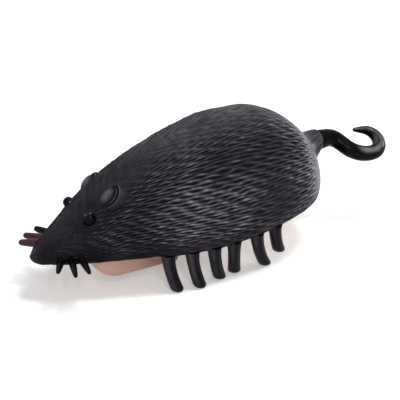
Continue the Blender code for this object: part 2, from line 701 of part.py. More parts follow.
def keel(inset, high, front, back):
    """The keel's outside, or with an inset its inside; its front rises in a quarter ellipse like a bow."""
    rings = []
    for station in between(front, KEEL_START + KEEL_BOW, KEEL_BOW_STATIONS) + [back]:
        ahead = max(1.0 - (station - inset - KEEL_START) / KEEL_BOW, 0.0)
        fullness = math.sqrt(max(1.0 - min(ahead, 1.0) ** 2, 0.0))
        reach = KEEL_BOW_WIDTH_SHARE + (1.0 - KEEL_BOW_WIDTH_SHARE) * fullness
        out = KEEL_HALF_WIDTH * reach - inset
        bottom = flange_under(station) + (KEEL_BOTTOM - flange_under(station)) * fullness + inset
        room = flange_under(station) - bottom
        radius = min(TUB_ROUND, max(room, GAP / 2))
        rings.append(tub_ring(station, out, bottom, radius, flange_under(station) + high))
    return loft("keel", rings)


def bay(inset, bottom, high, front, back):
    rings = []
    for station in between(front, back, BAY_STATIONS):
        out = BAY_HALF_WIDTH - inset
        radius = max(BAY_ROUND - inset, GAP / 2)
        rings.append(tub_ring(station, out, bottom, radius, flange_under(station) + high))
    return loft("bay", rings)


def strip_span():
    low = LEG_FIRST_STATION - STRIP_END
    high = LEG_FIRST_STATION + (LEG_COUNT - 1) * LEG_PITCH + STRIP_END
    return low, high


def flange():
    """The plate that closes the shell's rim, with its edge drawn in along the two leg strips."""
    front = NOSE_SOLID_LENGTH + GAP
    back = BODY_LENGTH - SHELL_WALL - GAP
    rings = []
    for station in eased_stations(front, back, FLANGE_STATIONS):
        out = inner_rim_out(station) - GAP
        low, high = flange_under(station), flange_top(station)
        rings.append([(-out, station, low), (out, station, low), (out, station, high), (-out, station, high)])
    plate = loft("belly_pan", rings)
    low, high = strip_span()
    rings = []
    for station in between(low - GAP, high + GAP, STRIP_STATIONS):
        inner = inner_rim_out(station) - STRIP_WEB - 2 * GAP
        outer = inner_rim_out(station) + CUT
        bottom, roof = flange_under(station) - CUT, flange_top(station) + CUT
        rings.append([(inner, station, bottom), (outer, station, bottom), (outer, station, roof),
                      (inner, station, roof)])
    slot = loft("slot", rings)
    combine(plate, "DIFFERENCE", mirrored(slot), slot)
    return plate


def motor_outline(grow):
    """Outline of the flat-sided can, across its length."""
    radius = MOTOR_RADIUS + grow
    flat = MOTOR_HALF_HEIGHT + grow
    outline = []
    for at in range(MOTOR_SIDES):
        turn = math.tau * (at + 0.5) / MOTOR_SIDES
        height = max(-flat, min(flat, radius * math.sin(turn)))
        outline.append((radius * math.cos(turn), MOTOR_Z + height))
    return outline


def motor_bar(name, grow, front, back):
    return loft(name, [[(x, station, z) for x, z in motor_outline(grow)] for station in (front, back)])


def saddle(station):
    out = KEEL_HALF_WIDTH - PAN_WALL / 2
    low = (-out, station - SADDLE_THICKNESS / 2, KEEL_BOTTOM + PAN_WALL / 2)
    made = box("saddle", low, (out, station + SADDLE_THICKNESS / 2, MOTOR_Z))
    return combine(made, "DIFFERENCE", motor_bar("can", GAP, station - CUT, station + CUT))


def belly_pan():
    pan = flange()
    roof = FLANGE_THICKNESS / 2
    combine(pan, "UNION", keel(0.0, roof, KEEL_START, CROSS_END))
    combine(pan, "UNION", bay(0.0, BAY_BOTTOM, roof, CROSS_END - PAN_WALL / 2, BAY_END))
    combine(pan, "DIFFERENCE", keel(PAN_WALL, CUT, KEEL_START + 2 * PAN_WALL, CROSS_START))
    combine(pan, "DIFFERENCE", bay(PAN_WALL, FLOOR_TOP, CUT, CROSS_END, BAY_INNER_END))
    for share in SADDLE_SHARES:
        combine(pan, "UNION", saddle(MOTOR_START + share * MOTOR_LENGTH))
    wall_out = BAY_HALF_WIDTH - PAN_WALL / 2
    stand = BOARD_BOTTOM - GAP
    support = TERMINAL_OUT - WIRE_RADIUS - GAP
    cross = box("cross", (-support, CROSS_START, BAY_BOTTOM + PAN_WALL), (support, CROSS_END, stand))
    block = box("block", (-wall_out, BLOCK_START, BAY_BOTTOM + PAN_WALL), (wall_out, BLOCK_END, stand))
    combine(pan, "UNION", cross, block)
    for side in (1, -1):
        near = side * (SWITCH_WIDTH / 2 + GAP)
        low, high = sorted((near, side * wall_out))
        rib = box("rib", (low, SWITCH_STATION - PAN_WALL / 2, FLOOR_TOP - GAP),
                  (high, SWITCH_STATION + PAN_WALL / 2, SWITCH_BOTTOM + SWITCH_HEIGHT / 2))
        combine(pan, "UNION", rib)
        out = side * CLAMP_SCREW_OUT
        radius = SCREW_RADIUS + GAP + PAN_BOSS_WALL
        boss = post(radius, flange_under(CLAMP_STATION) + GAP, CLAMP_BOTTOM - GAP, out, CLAMP_STATION)
        combine(pan, "UNION", boss)
        tip = CLAMP_BOTTOM + CLAMP_THICKNESS - CLAMP_SCREW_LENGTH - GAP
        hole = post(SCREW_RADIUS + GAP, tip, CLAMP_BOTTOM + CUT, out, CLAMP_STATION, SCREW_SIDES)
        combine(pan, "DIFFERENCE", hole)
        tip = BOARD_TOP - BOARD_SCREW_LENGTH - GAP
        hole = post(SCREW_RADIUS + GAP, tip, BOARD_TOP + CUT, side * BOARD_SCREW_OUT, DOOR_SCREW_STATION,
                    SCREW_SIDES)
        combine(pan, "DIFFERENCE", hole)
    for out, station in SHELL_SCREWS.values():
        radius = SCREW_HEAD_RADIUS + GAP + PAN_BOSS_WALL
        boss = post(radius, flange_under(station) + GAP, flange_top(station) + PAN_BOSS_RISE, out, station)
        combine(pan, "UNION", boss)
        seat = flange_top(station)
        recess = post(SCREW_HEAD_RADIUS + GAP, flange_under(station) - CUT, seat, out, station)
        hole = post(SCREW_RADIUS + GAP, seat - CUT, seat + CUT, out, station, SCREW_SIDES)
        combine(pan, "DIFFERENCE", recess, hole)
    door_out = CELL_RADIUS + GAP + DOOR_LIP + GAP
    recess = rounded_plate("recess", (-door_out, DOOR_START - GAP, BAY_BOTTOM - CUT),
                           (door_out, DOOR_END + GAP, DOOR_TOP + GAP), DOOR_ROUND)
    well = rounded_plate("well", (-CELL_RADIUS - GAP, CELLS_START - GAP, BAY_BOTTOM - CUT),
                         (CELL_RADIUS + GAP, CELLS_END + GAP / 2, FLOOR_TOP + CUT), DOOR_ROUND)
    screw_tip = BAY_BOTTOM + SCREW_HEAD_HEIGHT + SCREW_SINK + DOOR_SCREW_LENGTH + GAP
    hole = post(SCREW_RADIUS + GAP, BAY_BOTTOM - CUT, screw_tip, 0.0, DOOR_SCREW_STATION, SCREW_SIDES)
    combine(pan, "DIFFERENCE", recess, well, hole)
    travel = SWITCH_TRAVEL / 2 + GAP
    cap_out, cap_back = SLIDER_CAP_WIDTH / 2 + travel, SLIDER_CAP_DEPTH / 2 + GAP
    cap_top = BAY_BOTTOM - SLIDER_PROUD + SLIDER_CAP_THICKNESS + GAP
    combine(pan, "DIFFERENCE", box("cap_recess", (-cap_out, SWITCH_STATION - cap_back, BAY_BOTTOM - CUT),
                                   (cap_out, SWITCH_STATION + cap_back, cap_top)))
    stem_out, stem_back = SLIDER_STEM / 2 + travel, SLIDER_STEM / 2 + GAP
    combine(pan, "DIFFERENCE", box("stem_slot", (-stem_out, SWITCH_STATION - stem_back, BAY_BOTTOM - CUT),
                                   (stem_out, SWITCH_STATION + stem_back, FLOOR_TOP + CUT)))
    notch = cheek_pad(GAP, CUT)
    combine(pan, "DIFFERENCE", mirrored(notch), notch)
    return pan


# Legs, whiskers, eyes and tail

def leg(index):
    """One leg of the left strip: down from the strip, then swept back, with a rounded foot."""
    station = LEG_FIRST_STATION + (index + LEG_SHIFT_SHARES[index]) * LEG_PITCH
    root = rim(station) - GAP - STRIP_FOOT / 3
    foot = LEG_LIFT_SHARES[index] * root
    height = root - foot
    out = rim_out(station) - LEG_INSET
    round_share = LEG_END_ROUND / height
    places = between(0.0, 1.0 - round_share, LEG_RINGS)
    places += [1.0 - round_share * share for share in LEG_END_SHARES]
    rings = []
    for down in places:
        centre_x = out + LEG_LEAN_SHARES[index] * height * down ** LEG_BEND
        centre_y = station + LEG_SWEEP_SHARES[index] * height * down ** LEG_BEND
        flare = LEG_FLARE * (1.0 - down) ** LEG_FLARE_POWER
        radius = LEG_RADIUS + (LEG_TIP_RADIUS - LEG_RADIUS) * down + flare
        last = (down - 1.0 + round_share) / round_share
        if last > 0.0:
            radius = LEG_FLAT_RADIUS + (radius - LEG_FLAT_RADIUS) * math.sqrt(1.0 - min(last, 1.0) ** 2)
        ring = []
        for at in range(LEG_SIDES):
            turn = math.tau * at / LEG_SIDES
            ring.append((centre_x + radius * math.cos(turn), centre_y + radius * math.sin(turn),
                         root - height * down))
        rings.append(ring)
    return loft("leg", rings)


def leg_strip():
    """The left strip: a bar under the rim, a web up past the flange, and a tongue that lies on the flange."""
    low, high = strip_span()
    rings = []
    for station in between(low, high, STRIP_STATIONS):
        web_out = inner_rim_out(station) - GAP
        web_in = web_out - STRIP_WEB
        inner = web_in - STRIP_TONGUE
        outer = rim_out(station) - STRIP_INSET
        bar_top = rim(station) - GAP
        bar_bottom = bar_top - STRIP_FOOT
        tongue = flange_top(station) + GAP
        crown = tongue + STRIP_TONGUE_THICKNESS
        outline = [(inner, bar_bottom), (outer - STRIP_INSET, bar_bottom), (outer, bar_bottom + STRIP_INSET),
                   (outer, bar_top), (web_out, bar_top), (web_out, crown), (inner, crown), (inner, tongue),
                   (web_in, tongue), (web_in, bar_top), (inner, bar_top)]
        rings.append([(x, station, z) for x, z in outline])
    strip = loft("left_leg_strip", rings)
    out, station = SHELL_SCREWS["left"]
    boss = SCREW_HEAD_RADIUS + GAP + PAN_BOSS_WALL
    room = post(boss + GAP, flange_under(station) - GAP, flange_top(station) + CUT, out, station)
    combine(strip, "DIFFERENCE", room)
    for index in range(LEG_COUNT):
        combine(strip, "UNION", leg(index))
    return strip


def whiskers(name, shares, forward_deg):
    """A left cheek's pad with its three tapered spikes."""
    pad = cheek_pad(0.0, WHISKER_PAD_PROUD)
    pad.name = name
    for index, share in enumerate(shares):
        length = share * WHISKER_LENGTH
        station = WHISKER_STATION + (index - 1) * WHISKER_SPACING
        start = Vector((half_width(station), station, rim(station) + WHISKER_RISE))
        forward, down = math.radians(forward_deg[index]), math.radians(WHISKER_DOWN_DEG)
        profile = [(WHISKER_RADIUS, -WHISKER_PAD_DEPTH / 2), (WHISKER_RADIUS, length / 4),
                   ((WHISKER_RADIUS + WHISKER_TIP_RADIUS) / 2, length * 3 / 4),
                   (WHISKER_TIP_RADIUS, length - WHISKER_TIP_RADIUS), (WHISKER_TIP_RADIUS / 2, length)]
        spike = turned("spike", profile, WHISKER_SIDES)
        place(spike, start, Euler((0.0, math.pi / 2 + down, -forward), "XYZ"))
        combine(pad, "UNION", spike)
    return pad


def tail_path():
    """Points of the tail's middle line in its own plane, as pairs of out and back, with the distance run."""
    runs = ((TAIL_LEAD, 0.0),
            (TAIL_FIRST_RADIUS * math.radians(TAIL_FIRST_TURN_DEG), 1.0 / TAIL_FIRST_RADIUS),
            (TAIL_STRAIGHT, 0.0),
            (TAIL_BACK_RADIUS * math.radians(TAIL_BACK_TURN_DEG), -1.0 / TAIL_BACK_RADIUS),
            (TAIL_HOOK_RADIUS * math.radians(TAIL_HOOK_TURN_DEG), -1.0 / TAIL_HOOK_RADIUS))
    out, back, heading, run = 0.0, 0.0, 0.0, 0.0
    points = [(out, back, heading, run)]
    for length, bend in runs:
        steps = max(round(length / TAIL_STEP), 1)
        for _ in range(steps):
            move = length / steps
            middle = heading + bend * move / 2
            out += move * math.sin(middle)
            back += move * math.cos(middle)
            heading += bend * move
            run += move
            points.append((out, back, heading, run))
    return points


def tail_rings():
    """Rings round the tail's middle line, from its root at the boss to its rounded tip."""
    dip = math.radians(TAIL_PLANE_DEG)
    sideways = Vector((math.cos(dip), 0.0, -math.sin(dip)))
    upright = Vector((math.sin(dip), 0.0, math.cos(dip)))
    straight = Vector((0.0, 1.0, 0.0))
    root = Vector((0.0, BOSS_END + GAP, TAIL_Z))
    points = tail_path()
    whole = points[-1][3]
    rings = []
    for out, back, heading, run in points:
        share = run / whole
        near_root = 1.0 - min(share / TAIL_ROOT_SHARE, 1.0)
        thick = TAIL_RADIUS + (TAIL_ROOT_RADIUS - TAIL_RADIUS) * near_root ** TAIL_ROOT_POWER
        radius = TAIL_TIP_RADIUS + (thick - TAIL_TIP_RADIUS) * (1.0 - share ** TAIL_TAPER_POWER)
        centre = root + sideways * out + straight * back
        across = sideways * math.cos(heading) - straight * math.sin(heading)
        ring = []
        for at in range(TAIL_SIDES):
            turn = math.tau * at / TAIL_SIDES
            ring.append(centre + (across * math.cos(turn) + upright * math.sin(turn)) * radius)
        rings.append(ring)
    out, back, heading, run = points[-1]
    onward = sideways * math.sin(heading) + straight * math.cos(heading)
    tip = centre + onward * TAIL_TIP_RADIUS * TAIL_END_SHARE
    rings.append([tip + (point - centre) * TAIL_END_RADIUS_SHARE for point in rings[-1]])
    return rings


def tail():
    made = loft("tail", tail_rings())
    groove_start = BOSS_START - GAP
    groove_end = groove_start - CLIP_THICKNESS - 2 * GAP
    profile = [(PLUG_RADIUS - GAP, groove_end - PLUG_HEAD), (PLUG_RADIUS, groove_end - PLUG_HEAD + GAP),
               (PLUG_RADIUS, groove_end), (PLUG_GROOVE_RADIUS, groove_end),
               (PLUG_GROOVE_RADIUS, groove_start), (PLUG_RADIUS, groove_start),
               (PLUG_RADIUS, BOSS_END + 2 * GAP)]
    plug = place(turned("plug", profile, BOSS_SIDES, "Y"), (0.0, 0.0, TAIL_Z))
    return combine(made, "UNION", plug)


def tail_clip():
    """A C-shaped washer in the plug's groove, open downwards."""
    end = BOSS_START - 2 * GAP
    ring = turned("tail_clip", [(CLIP_RADIUS, end - CLIP_THICKNESS), (CLIP_RADIUS, end)], BOSS_SIDES, "Y")
    place(ring, (0.0, 0.0, TAIL_Z))
    inner = PLUG_GROOVE_RADIUS + GAP
    mouth_out = inner * CLIP_MOUTH_SHARE
    mouth = box("mouth", (-mouth_out, end - CUT, TAIL_Z - CLIP_RADIUS - CUT), (mouth_out, end + CUT, TAIL_Z))
    return combine(ring, "DIFFERENCE", bore("bore", inner, end - CUT, end + CUT, TAIL_Z), mouth)


# Motor and weight

def motor_can():
    can = motor_bar("motor_can", 0.0, MOTOR_START, MOTOR_END)
    inside = motor_bar("inside", -MOTOR_WALL, MOTOR_START + MOTOR_WALL, MOTOR_END + CUT)
    combine(can, "DIFFERENCE", inside)
    seat = bore("seat", BUSH_RADIUS + GAP, MOTOR_START - CUT, MOTOR_START + CUT, MOTOR_Z)
    return combine(can, "DIFFERENCE", seat)


def shaft_bore(front, back):
    return bore("shaft_bore", SHAFT_RADIUS + GAP, front, back, MOTOR_Z)


def motor_bush():
    """A brass bearing: a collar inside the can and a snout through its front face."""
    inner_face = MOTOR_START + MOTOR_WALL + GAP
    collar = BUSH_RADIUS + 2 * GAP
    profile = [(BUSH_RADIUS, MOTOR_START - GAP), (BUSH_RADIUS, inner_face), (collar, inner_face),
               (collar, MOTOR_START + BUSH_LENGTH)]
    bush = place(turned("motor_bush", profile, BORE_SIDES, "Y"), (0.0, 0.0, MOTOR_Z))
    return combine(bush, "DIFFERENCE", shaft_bore(MOTOR_START - CUT, MOTOR_START + CUT))


def end_cap():
    """The moulded cap in the can's open end, with the rear bearing and the slots for its terminals."""
    cap = motor_bar("motor_end_cap", -MOTOR_WALL - GAP, MOTOR_END - MOTOR_CAP_LENGTH, MOTOR_END + GAP)
    blind = shaft_bore(MOTOR_END - 2 * MOTOR_CAP_LENGTH, MOTOR_END - MOTOR_CAP_LENGTH / 3)
    return combine(cap, "DIFFERENCE", blind)


def magnet():
    """The left magnet: an arc that lies in the round side of the can."""
    outer = MOTOR_RADIUS - MOTOR_WALL - GAP
    inner = outer - MAGNET_THICKNESS
    reach = math.radians(MAGNET_HALF_ARC_DEG)
    turns = between(-reach, reach, MAGNET_SEGMENTS)
    outline = [(outer * math.cos(turn), outer * math.sin(turn)) for turn in turns]
    outline += [(inner * math.cos(turn), inner * math.sin(turn)) for turn in reversed(turns)]
    start = magnet_start()
    rings = [[(x, station, MOTOR_Z + z) for x, z in outline] for station in (start, start + MAGNET_LENGTH)]
    return loft("left_magnet", rings)


def magnet_start():
    return MOTOR_START + BUSH_LENGTH + GAP


def armature_start():
    return magnet_start() + (MAGNET_LENGTH - ARMATURE_LENGTH) / 2


def armature():
    """The wound core: three broad poles round a hub."""
    start, end = armature_start(), armature_start() + ARMATURE_LENGTH
    outline = []
    for pole in range(ARMATURE_POLES):
        face_shares = between(-POLE_HALF_SHARE, POLE_HALF_SHARE, POLE_SEGMENTS)
        places = [(share, ARMATURE_RADIUS) for share in face_shares]
        foot_share = POLE_HALF_SHARE + POLE_SLOPE_SHARE
        places += [(foot_share, ARMATURE_CORE_RADIUS), (1.0 - foot_share, ARMATURE_CORE_RADIUS)]
        for share, radius in places:
            turn = math.tau * (pole + share) / ARMATURE_POLES + math.pi / 2
            outline.append((radius * math.cos(turn), MOTOR_Z + radius * math.sin(turn)))
    core = loft("motor_armature", [[(x, station, z) for x, z in outline] for station in (start, end)])
    return combine(core, "DIFFERENCE", shaft_bore(start - CUT, end + CUT))


def commutator():
    start = armature_start() + ARMATURE_LENGTH + GAP
    end = min(start + COMMUTATOR_LENGTH, MOTOR_END - MOTOR_CAP_LENGTH - GAP)
    drum = bore("motor_commutator", COMMUTATOR_RADIUS, start, end, MOTOR_Z)
    return combine(drum, "DIFFERENCE", shaft_bore(start - CUT, end + CUT))


def weight_span():
    back = MOTOR_START - WEIGHT_CLEAR
    return back - WEIGHT_LENGTH, back


def motor_shaft():
    start, end = weight_span()[0] - GAP, MOTOR_END - MOTOR_CAP_LENGTH / 3 - GAP
    profile = [(SHAFT_RADIUS * SHAFT_END_SHARE, start - GAP), (SHAFT_RADIUS, start), (SHAFT_RADIUS, end)]
    return place(turned("motor_shaft", profile, BORE_SIDES, "Y"), (0.0, 0.0, MOTOR_Z))


def eccentric_weight():
    """Half a disc on a hub: it hangs below the shaft at rest."""
    start, end = weight_span()
    outline = []
    for turn in between(math.pi, math.tau, WEIGHT_SEGMENTS):
        outline.append((WEIGHT_RADIUS * math.cos(turn), WEIGHT_RADIUS * math.sin(turn)))
    for turn in between(0.0, math.pi, WEIGHT_HUB_SEGMENTS):
        outline.append((WEIGHT_HUB_RADIUS * math.cos(turn), WEIGHT_HUB_RADIUS * math.sin(turn)))
    rings = [[(x, station, MOTOR_Z + z) for x, z in outline] for station in (start, end)]
    weight = loft("eccentric_weight", rings)
    return combine(weight, "DIFFERENCE", shaft_bore(start - CUT, end + CUT))


def motor_terminal():
    """The left solder tab, square to the end cap and bent up along it."""
    start = MOTOR_END + 2 * GAP
    low = (TERMINAL_OUT - TERMINAL_WIDTH / 2, start, MOTOR_Z - TERMINAL_WIDTH / 2)
    high = (TERMINAL_OUT + TERMINAL_WIDTH / 2, start + TERMINAL_THICKNESS, MOTOR_Z + TERMINAL_HEIGHT)
    return box("left_motor_terminal", low, high)


def motor_clamp():
    """A strap across the top of the motor with a rounded end round each screw."""
    radius = CLAMP_LENGTH / 2
    out = CLAMP_SCREW_OUT + SCREW_HEAD_RADIUS
    low = (-out, CLAMP_STATION - radius, CLAMP_BOTTOM)
    high = (out, CLAMP_STATION + radius, CLAMP_BOTTOM + CLAMP_THICKNESS)
    strap = rounded_plate("motor_clamp", low, high, radius * CLAMP_ROUND_SHARE)
    for side in (1, -1):
        hole = post(SCREW_RADIUS + GAP, CLAMP_BOTTOM - CUT, CLAMP_BOTTOM + CUT, side * CLAMP_SCREW_OUT,
                    CLAMP_STATION, SCREW_SIDES)
        combine(strap, "DIFFERENCE", hole)
    return strap


# Battery, board, switch and wires

def cell(name, station, flipped):
    """A button cell: a wide cup and a narrower cap, turned over where the two are in series."""
    cup = CELL_HEIGHT - CELL_CAP_HEIGHT
    profile = [(CELL_RADIUS - GAP, 0.0), (CELL_RADIUS, GAP), (CELL_RADIUS, cup - GAP),
               (CELL_RADIUS - GAP, cup), (CELL_CAP_RADIUS, cup), (CELL_CAP_RADIUS, CELL_HEIGHT)]
    made = turned(name, profile, CELL_SIDES)
    if flipped:
        made.data.transform(Matrix.Rotation(math.pi, 4, "X"))
        made.data.transform(Matrix.Translation((0.0, 0.0, CELL_HEIGHT)))
    return place(made, (0.0, station, CELL_BOTTOM))


def door_outline_out():
    return CELL_RADIUS + GAP + DOOR_LIP


def battery_door():
    out = door_outline_out()
    low, high = (-out, DOOR_START, BAY_BOTTOM), (out, DOOR_END, DOOR_TOP)
    door = rounded_plate("battery_door", low, high, DOOR_ROUND)
    boss_top = BAY_BOTTOM + SCREW_HEAD_HEIGHT + SCREW_SINK + GAP
    hole = post(SCREW_RADIUS + GAP, BAY_BOTTOM - CUT, boss_top + CUT, 0.0, DOOR_SCREW_STATION, SCREW_SIDES)
    dish = [(SCREW_HEAD_RADIUS + GAP, BAY_BOTTOM - CUT), (SCREW_HEAD_RADIUS + GAP, BAY_BOTTOM + SCREW_SINK),
            (SCREW_RADIUS + GAP, DOOR_TOP - GAP)]
    sink = place(turned("sink", dish, 2 * SCREW_SIDES), (0.0, DOOR_SCREW_STATION, 0.0))
    combine(door, "DIFFERENCE", hole, sink)
    for index in range(DOOR_GRIP_COUNT):
        station = DOOR_START + 3 * DOOR_GRIP_PITCH + index * DOOR_GRIP_PITCH
        groove = box("groove", (-out / 2, station - DOOR_GRIP_WIDTH / 2, BAY_BOTTOM - CUT),
                     (out / 2, station + DOOR_GRIP_WIDTH / 2, BAY_BOTTOM + DOOR_GRIP_DEPTH))
        combine(door, "DIFFERENCE", groove)
    return door


def cell_bridge():
    """The strip on the door that joins the two cells."""
    reach = CONTACT_WIDTH / 2
    low = (-reach, CELL_STATIONS[0] - reach, BRIDGE_BOTTOM)
    high = (reach, CELL_STATIONS[1] + reach, BRIDGE_BOTTOM + CONTACT_THICKNESS)
    return rounded_plate("cell_bridge", low, high, reach / 2)


def cell_contact(name, station):
    """A leaf under the board: a flat pad, a slope down and a toe that rests on the cell."""
    pad_top = BOARD_BOTTOM - GAP
    toe_bottom = CELL_TOP + GAP
    toe_top = toe_bottom + CONTACT_THICKNESS
    heights = (pad_top, pad_top, toe_top, toe_top, toe_top + CONTACT_THICKNESS)
    start = station - CONTACT_BACK_SHARE * CONTACT_LENGTH
    outline = [(start + share * CONTACT_LENGTH, z) for share, z in zip(CONTACT_BEND_SHARES, heights)]
    outline += [(y, z - CONTACT_THICKNESS) for y, z in reversed(outline)]
    reach = CONTACT_WIDTH / 2
    return loft(name, [[(x, y, z) for y, z in outline] for x in (-reach, reach)])


def circuit_board():
    out = BOARD_HALF_WIDTH
    low = (-out, CROSS_START + PAN_WALL / 2, BOARD_BOTTOM)
    board = box("circuit_board", low, (out, BAY_INNER_END, BOARD_TOP))
    for side in (1, -1):
        hole = post(SCREW_RADIUS + GAP, BOARD_BOTTOM - CUT, BOARD_TOP + CUT, side * BOARD_SCREW_OUT,
                    DOOR_SCREW_STATION, SCREW_SIDES)
        combine(board, "DIFFERENCE", hole)
    return board


def switch_body():
    """The switch's case with its three pins up to the board, and a slot below for the slider."""
    half = SWITCH_WIDTH / 2
    low = (-half, SWITCH_START, SWITCH_BOTTOM)
    case = box("switch_body", low, (half, SWITCH_START + SWITCH_DEPTH, SWITCH_BOTTOM + SWITCH_HEIGHT))
    travel = SWITCH_TRAVEL / 2 + GAP
    slot_out, slot_back = SLIDER_STEM / 2 + travel, SLIDER_STEM / 2 + GAP
    slot = box("slot", (-slot_out, SWITCH_STATION - slot_back, SWITCH_BOTTOM - CUT),
               (slot_out, SWITCH_STATION + slot_back, SWITCH_BOTTOM + SWITCH_HEIGHT / 2))
    combine(case, "DIFFERENCE", slot)
    pin_root = SWITCH_BOTTOM + SWITCH_HEIGHT * SWITCH_PIN_ROOT_SHARE
    for index in (-1, 0, 1):
        out = index * SWITCH_PIN_PITCH
        pin = box("pin", (out - SWITCH_PIN / 2, SWITCH_STATION - SWITCH_PIN / 2, pin_root),
                  (out + SWITCH_PIN / 2, SWITCH_STATION + SWITCH_PIN / 2, BOARD_BOTTOM - GAP))
        combine(case, "UNION", pin)
    return case


def switch_slider():
    """The knob below the pan and its stem up into the switch."""
    half, back = SLIDER_CAP_WIDTH / 2, SLIDER_CAP_DEPTH / 2
    bottom = BAY_BOTTOM - SLIDER_PROUD
    cap_top = bottom + SLIDER_CAP_THICKNESS
    cap = box("switch_slider", (-half, SWITCH_STATION - back, bottom), (half, SWITCH_STATION + back, cap_top))
    thick = SLIDER_STEM / 2
    stem = box("stem", (-thick, SWITCH_STATION - thick, bottom + SLIDER_CAP_THICKNESS / 2),
               (thick, SWITCH_STATION + thick, SWITCH_BOTTOM + SWITCH_HEIGHT / 2 - GAP))
    combine(cap, "UNION", stem)
    for index in (-1, 0, 1):
        out = index * SLIDER_CAP_WIDTH / 4
        rib = box("groove", (out - GAP / 2, SWITCH_STATION - back - CUT, bottom - CUT),
                  (out + GAP / 2, SWITCH_STATION + back + CUT, bottom + GAP))
        combine(cap, "DIFFERENCE", rib)
    return cap


def motor_wire(name, side):
    """A lead from the board over the cross wall and down to a motor terminal."""
    out = side * TERMINAL_OUT
    start_z = BOARD_TOP + GAP + WIRE_RADIUS
    end_y = MOTOR_END + 3 * GAP + TERMINAL_THICKNESS + WIRE_RADIUS
    end_z = MOTOR_Z + TERMINAL_WIDTH / 2
    line = bpy.data.curves.new(name, "CURVE")
    line.dimensions = "3D"
    line.bevel_depth = WIRE_RADIUS
    line.bevel_resolution = 2
    line.resolution_u = 6
    line.use_fill_caps = True
    spline = line.splines.new("BEZIER")
    spline.bezier_points.add(1)
    bend = WIRE_ON_BOARD
    low, high = spline.bezier_points
    low.co = (out, end_y, end_z)
    low.handle_right = (out, end_y, start_z + bend / 2)
    low.handle_left = (out, end_y, end_z - bend)
    high.co = (out, CROSS_START + 2 * WIRE_ON_BOARD, start_z)
    high.handle_left = (out, CROSS_START - WIRE_RADIUS, start_z)
    high.handle_right = (out, CROSS_START + 3 * WIRE_ON_BOARD, start_z)
    made = bpy.data.objects.new(name, line)
    bpy.context.scene.collection.objects.link(made)
    return made


# Screws

def screw(name, length, seat, out, station, upward, sunk=False):
    """A cross-head screw; its head's inner face lies on the seat, and upward points its thread up."""
    head = SCREW_HEAD_HEIGHT
    if sunk:
        profile = [(SCREW_HEAD_RADIUS, -head), (SCREW_RADIUS, 0.0), (SCREW_RADIUS, length - SCREW_POINT)]
    else:
        profile = [(SCREW_HEAD_RADIUS * HEAD_TOP_SHARE, -head), (SCREW_HEAD_RADIUS, -head * HEAD_EDGE_SHARE),
                   (SCREW_HEAD_RADIUS, 0.0),
                   (SCREW_RADIUS, 0.0), (SCREW_RADIUS, length - SCREW_POINT)]
    profile.append((SCREW_RADIUS / 3, length))
    made = turned(name, profile, SCREW_SIDES)
    long, short = CROSS_LENGTH_SHARE * SCREW_HEAD_RADIUS, CROSS_WIDTH_SHARE * SCREW_HEAD_RADIUS
    depth = head * CROSS_DEPTH_SHARE - head
    combine(made, "DIFFERENCE", box("slot", (-long, -short, -head - CUT), (long, short, depth)),
            box("slot", (-short, -long, -head - CUT), (short, long, depth)))
    turn = None if upward else Euler((math.pi, 0.0, 0.0), "XYZ")
    return place(made, (out, station, seat), turn)


# Assembly

def finish(made, colour, smooth_deg=35.0):
    if made.type == "MESH":
        made.data.materials.clear()
        made.data.materials.append(material(colour))
        made.data.shade_smooth()
        made.data.set_sharp_from_angle(angle=math.radians(smooth_deg))
    else:
        made.data.materials.append(material(colour))
    return made


def carrier(name, point, parent=None):
    """An empty on a joint's axis that carries the pieces of one moving body."""
    empty = bpy.data.objects.new(name, None)
    bpy.context.scene.collection.objects.link(empty)
    empty.empty_display_size = BODY_HALF_WIDTH / 4
    empty.location = point
    empty.parent = parent
    return empty


def seat_on(made, empty, point):
    """Parents a piece to an empty, with its own origin moved onto the empty's point."""
    if made.type == "MESH":
        made.data.transform(Matrix.Translation(-Vector(point)))
    else:
        made.location = -Vector(point)
    made.parent = empty


def both_sides(left, right_name):
    other = mirrored(left)
    other.name = right_name
    return left, other


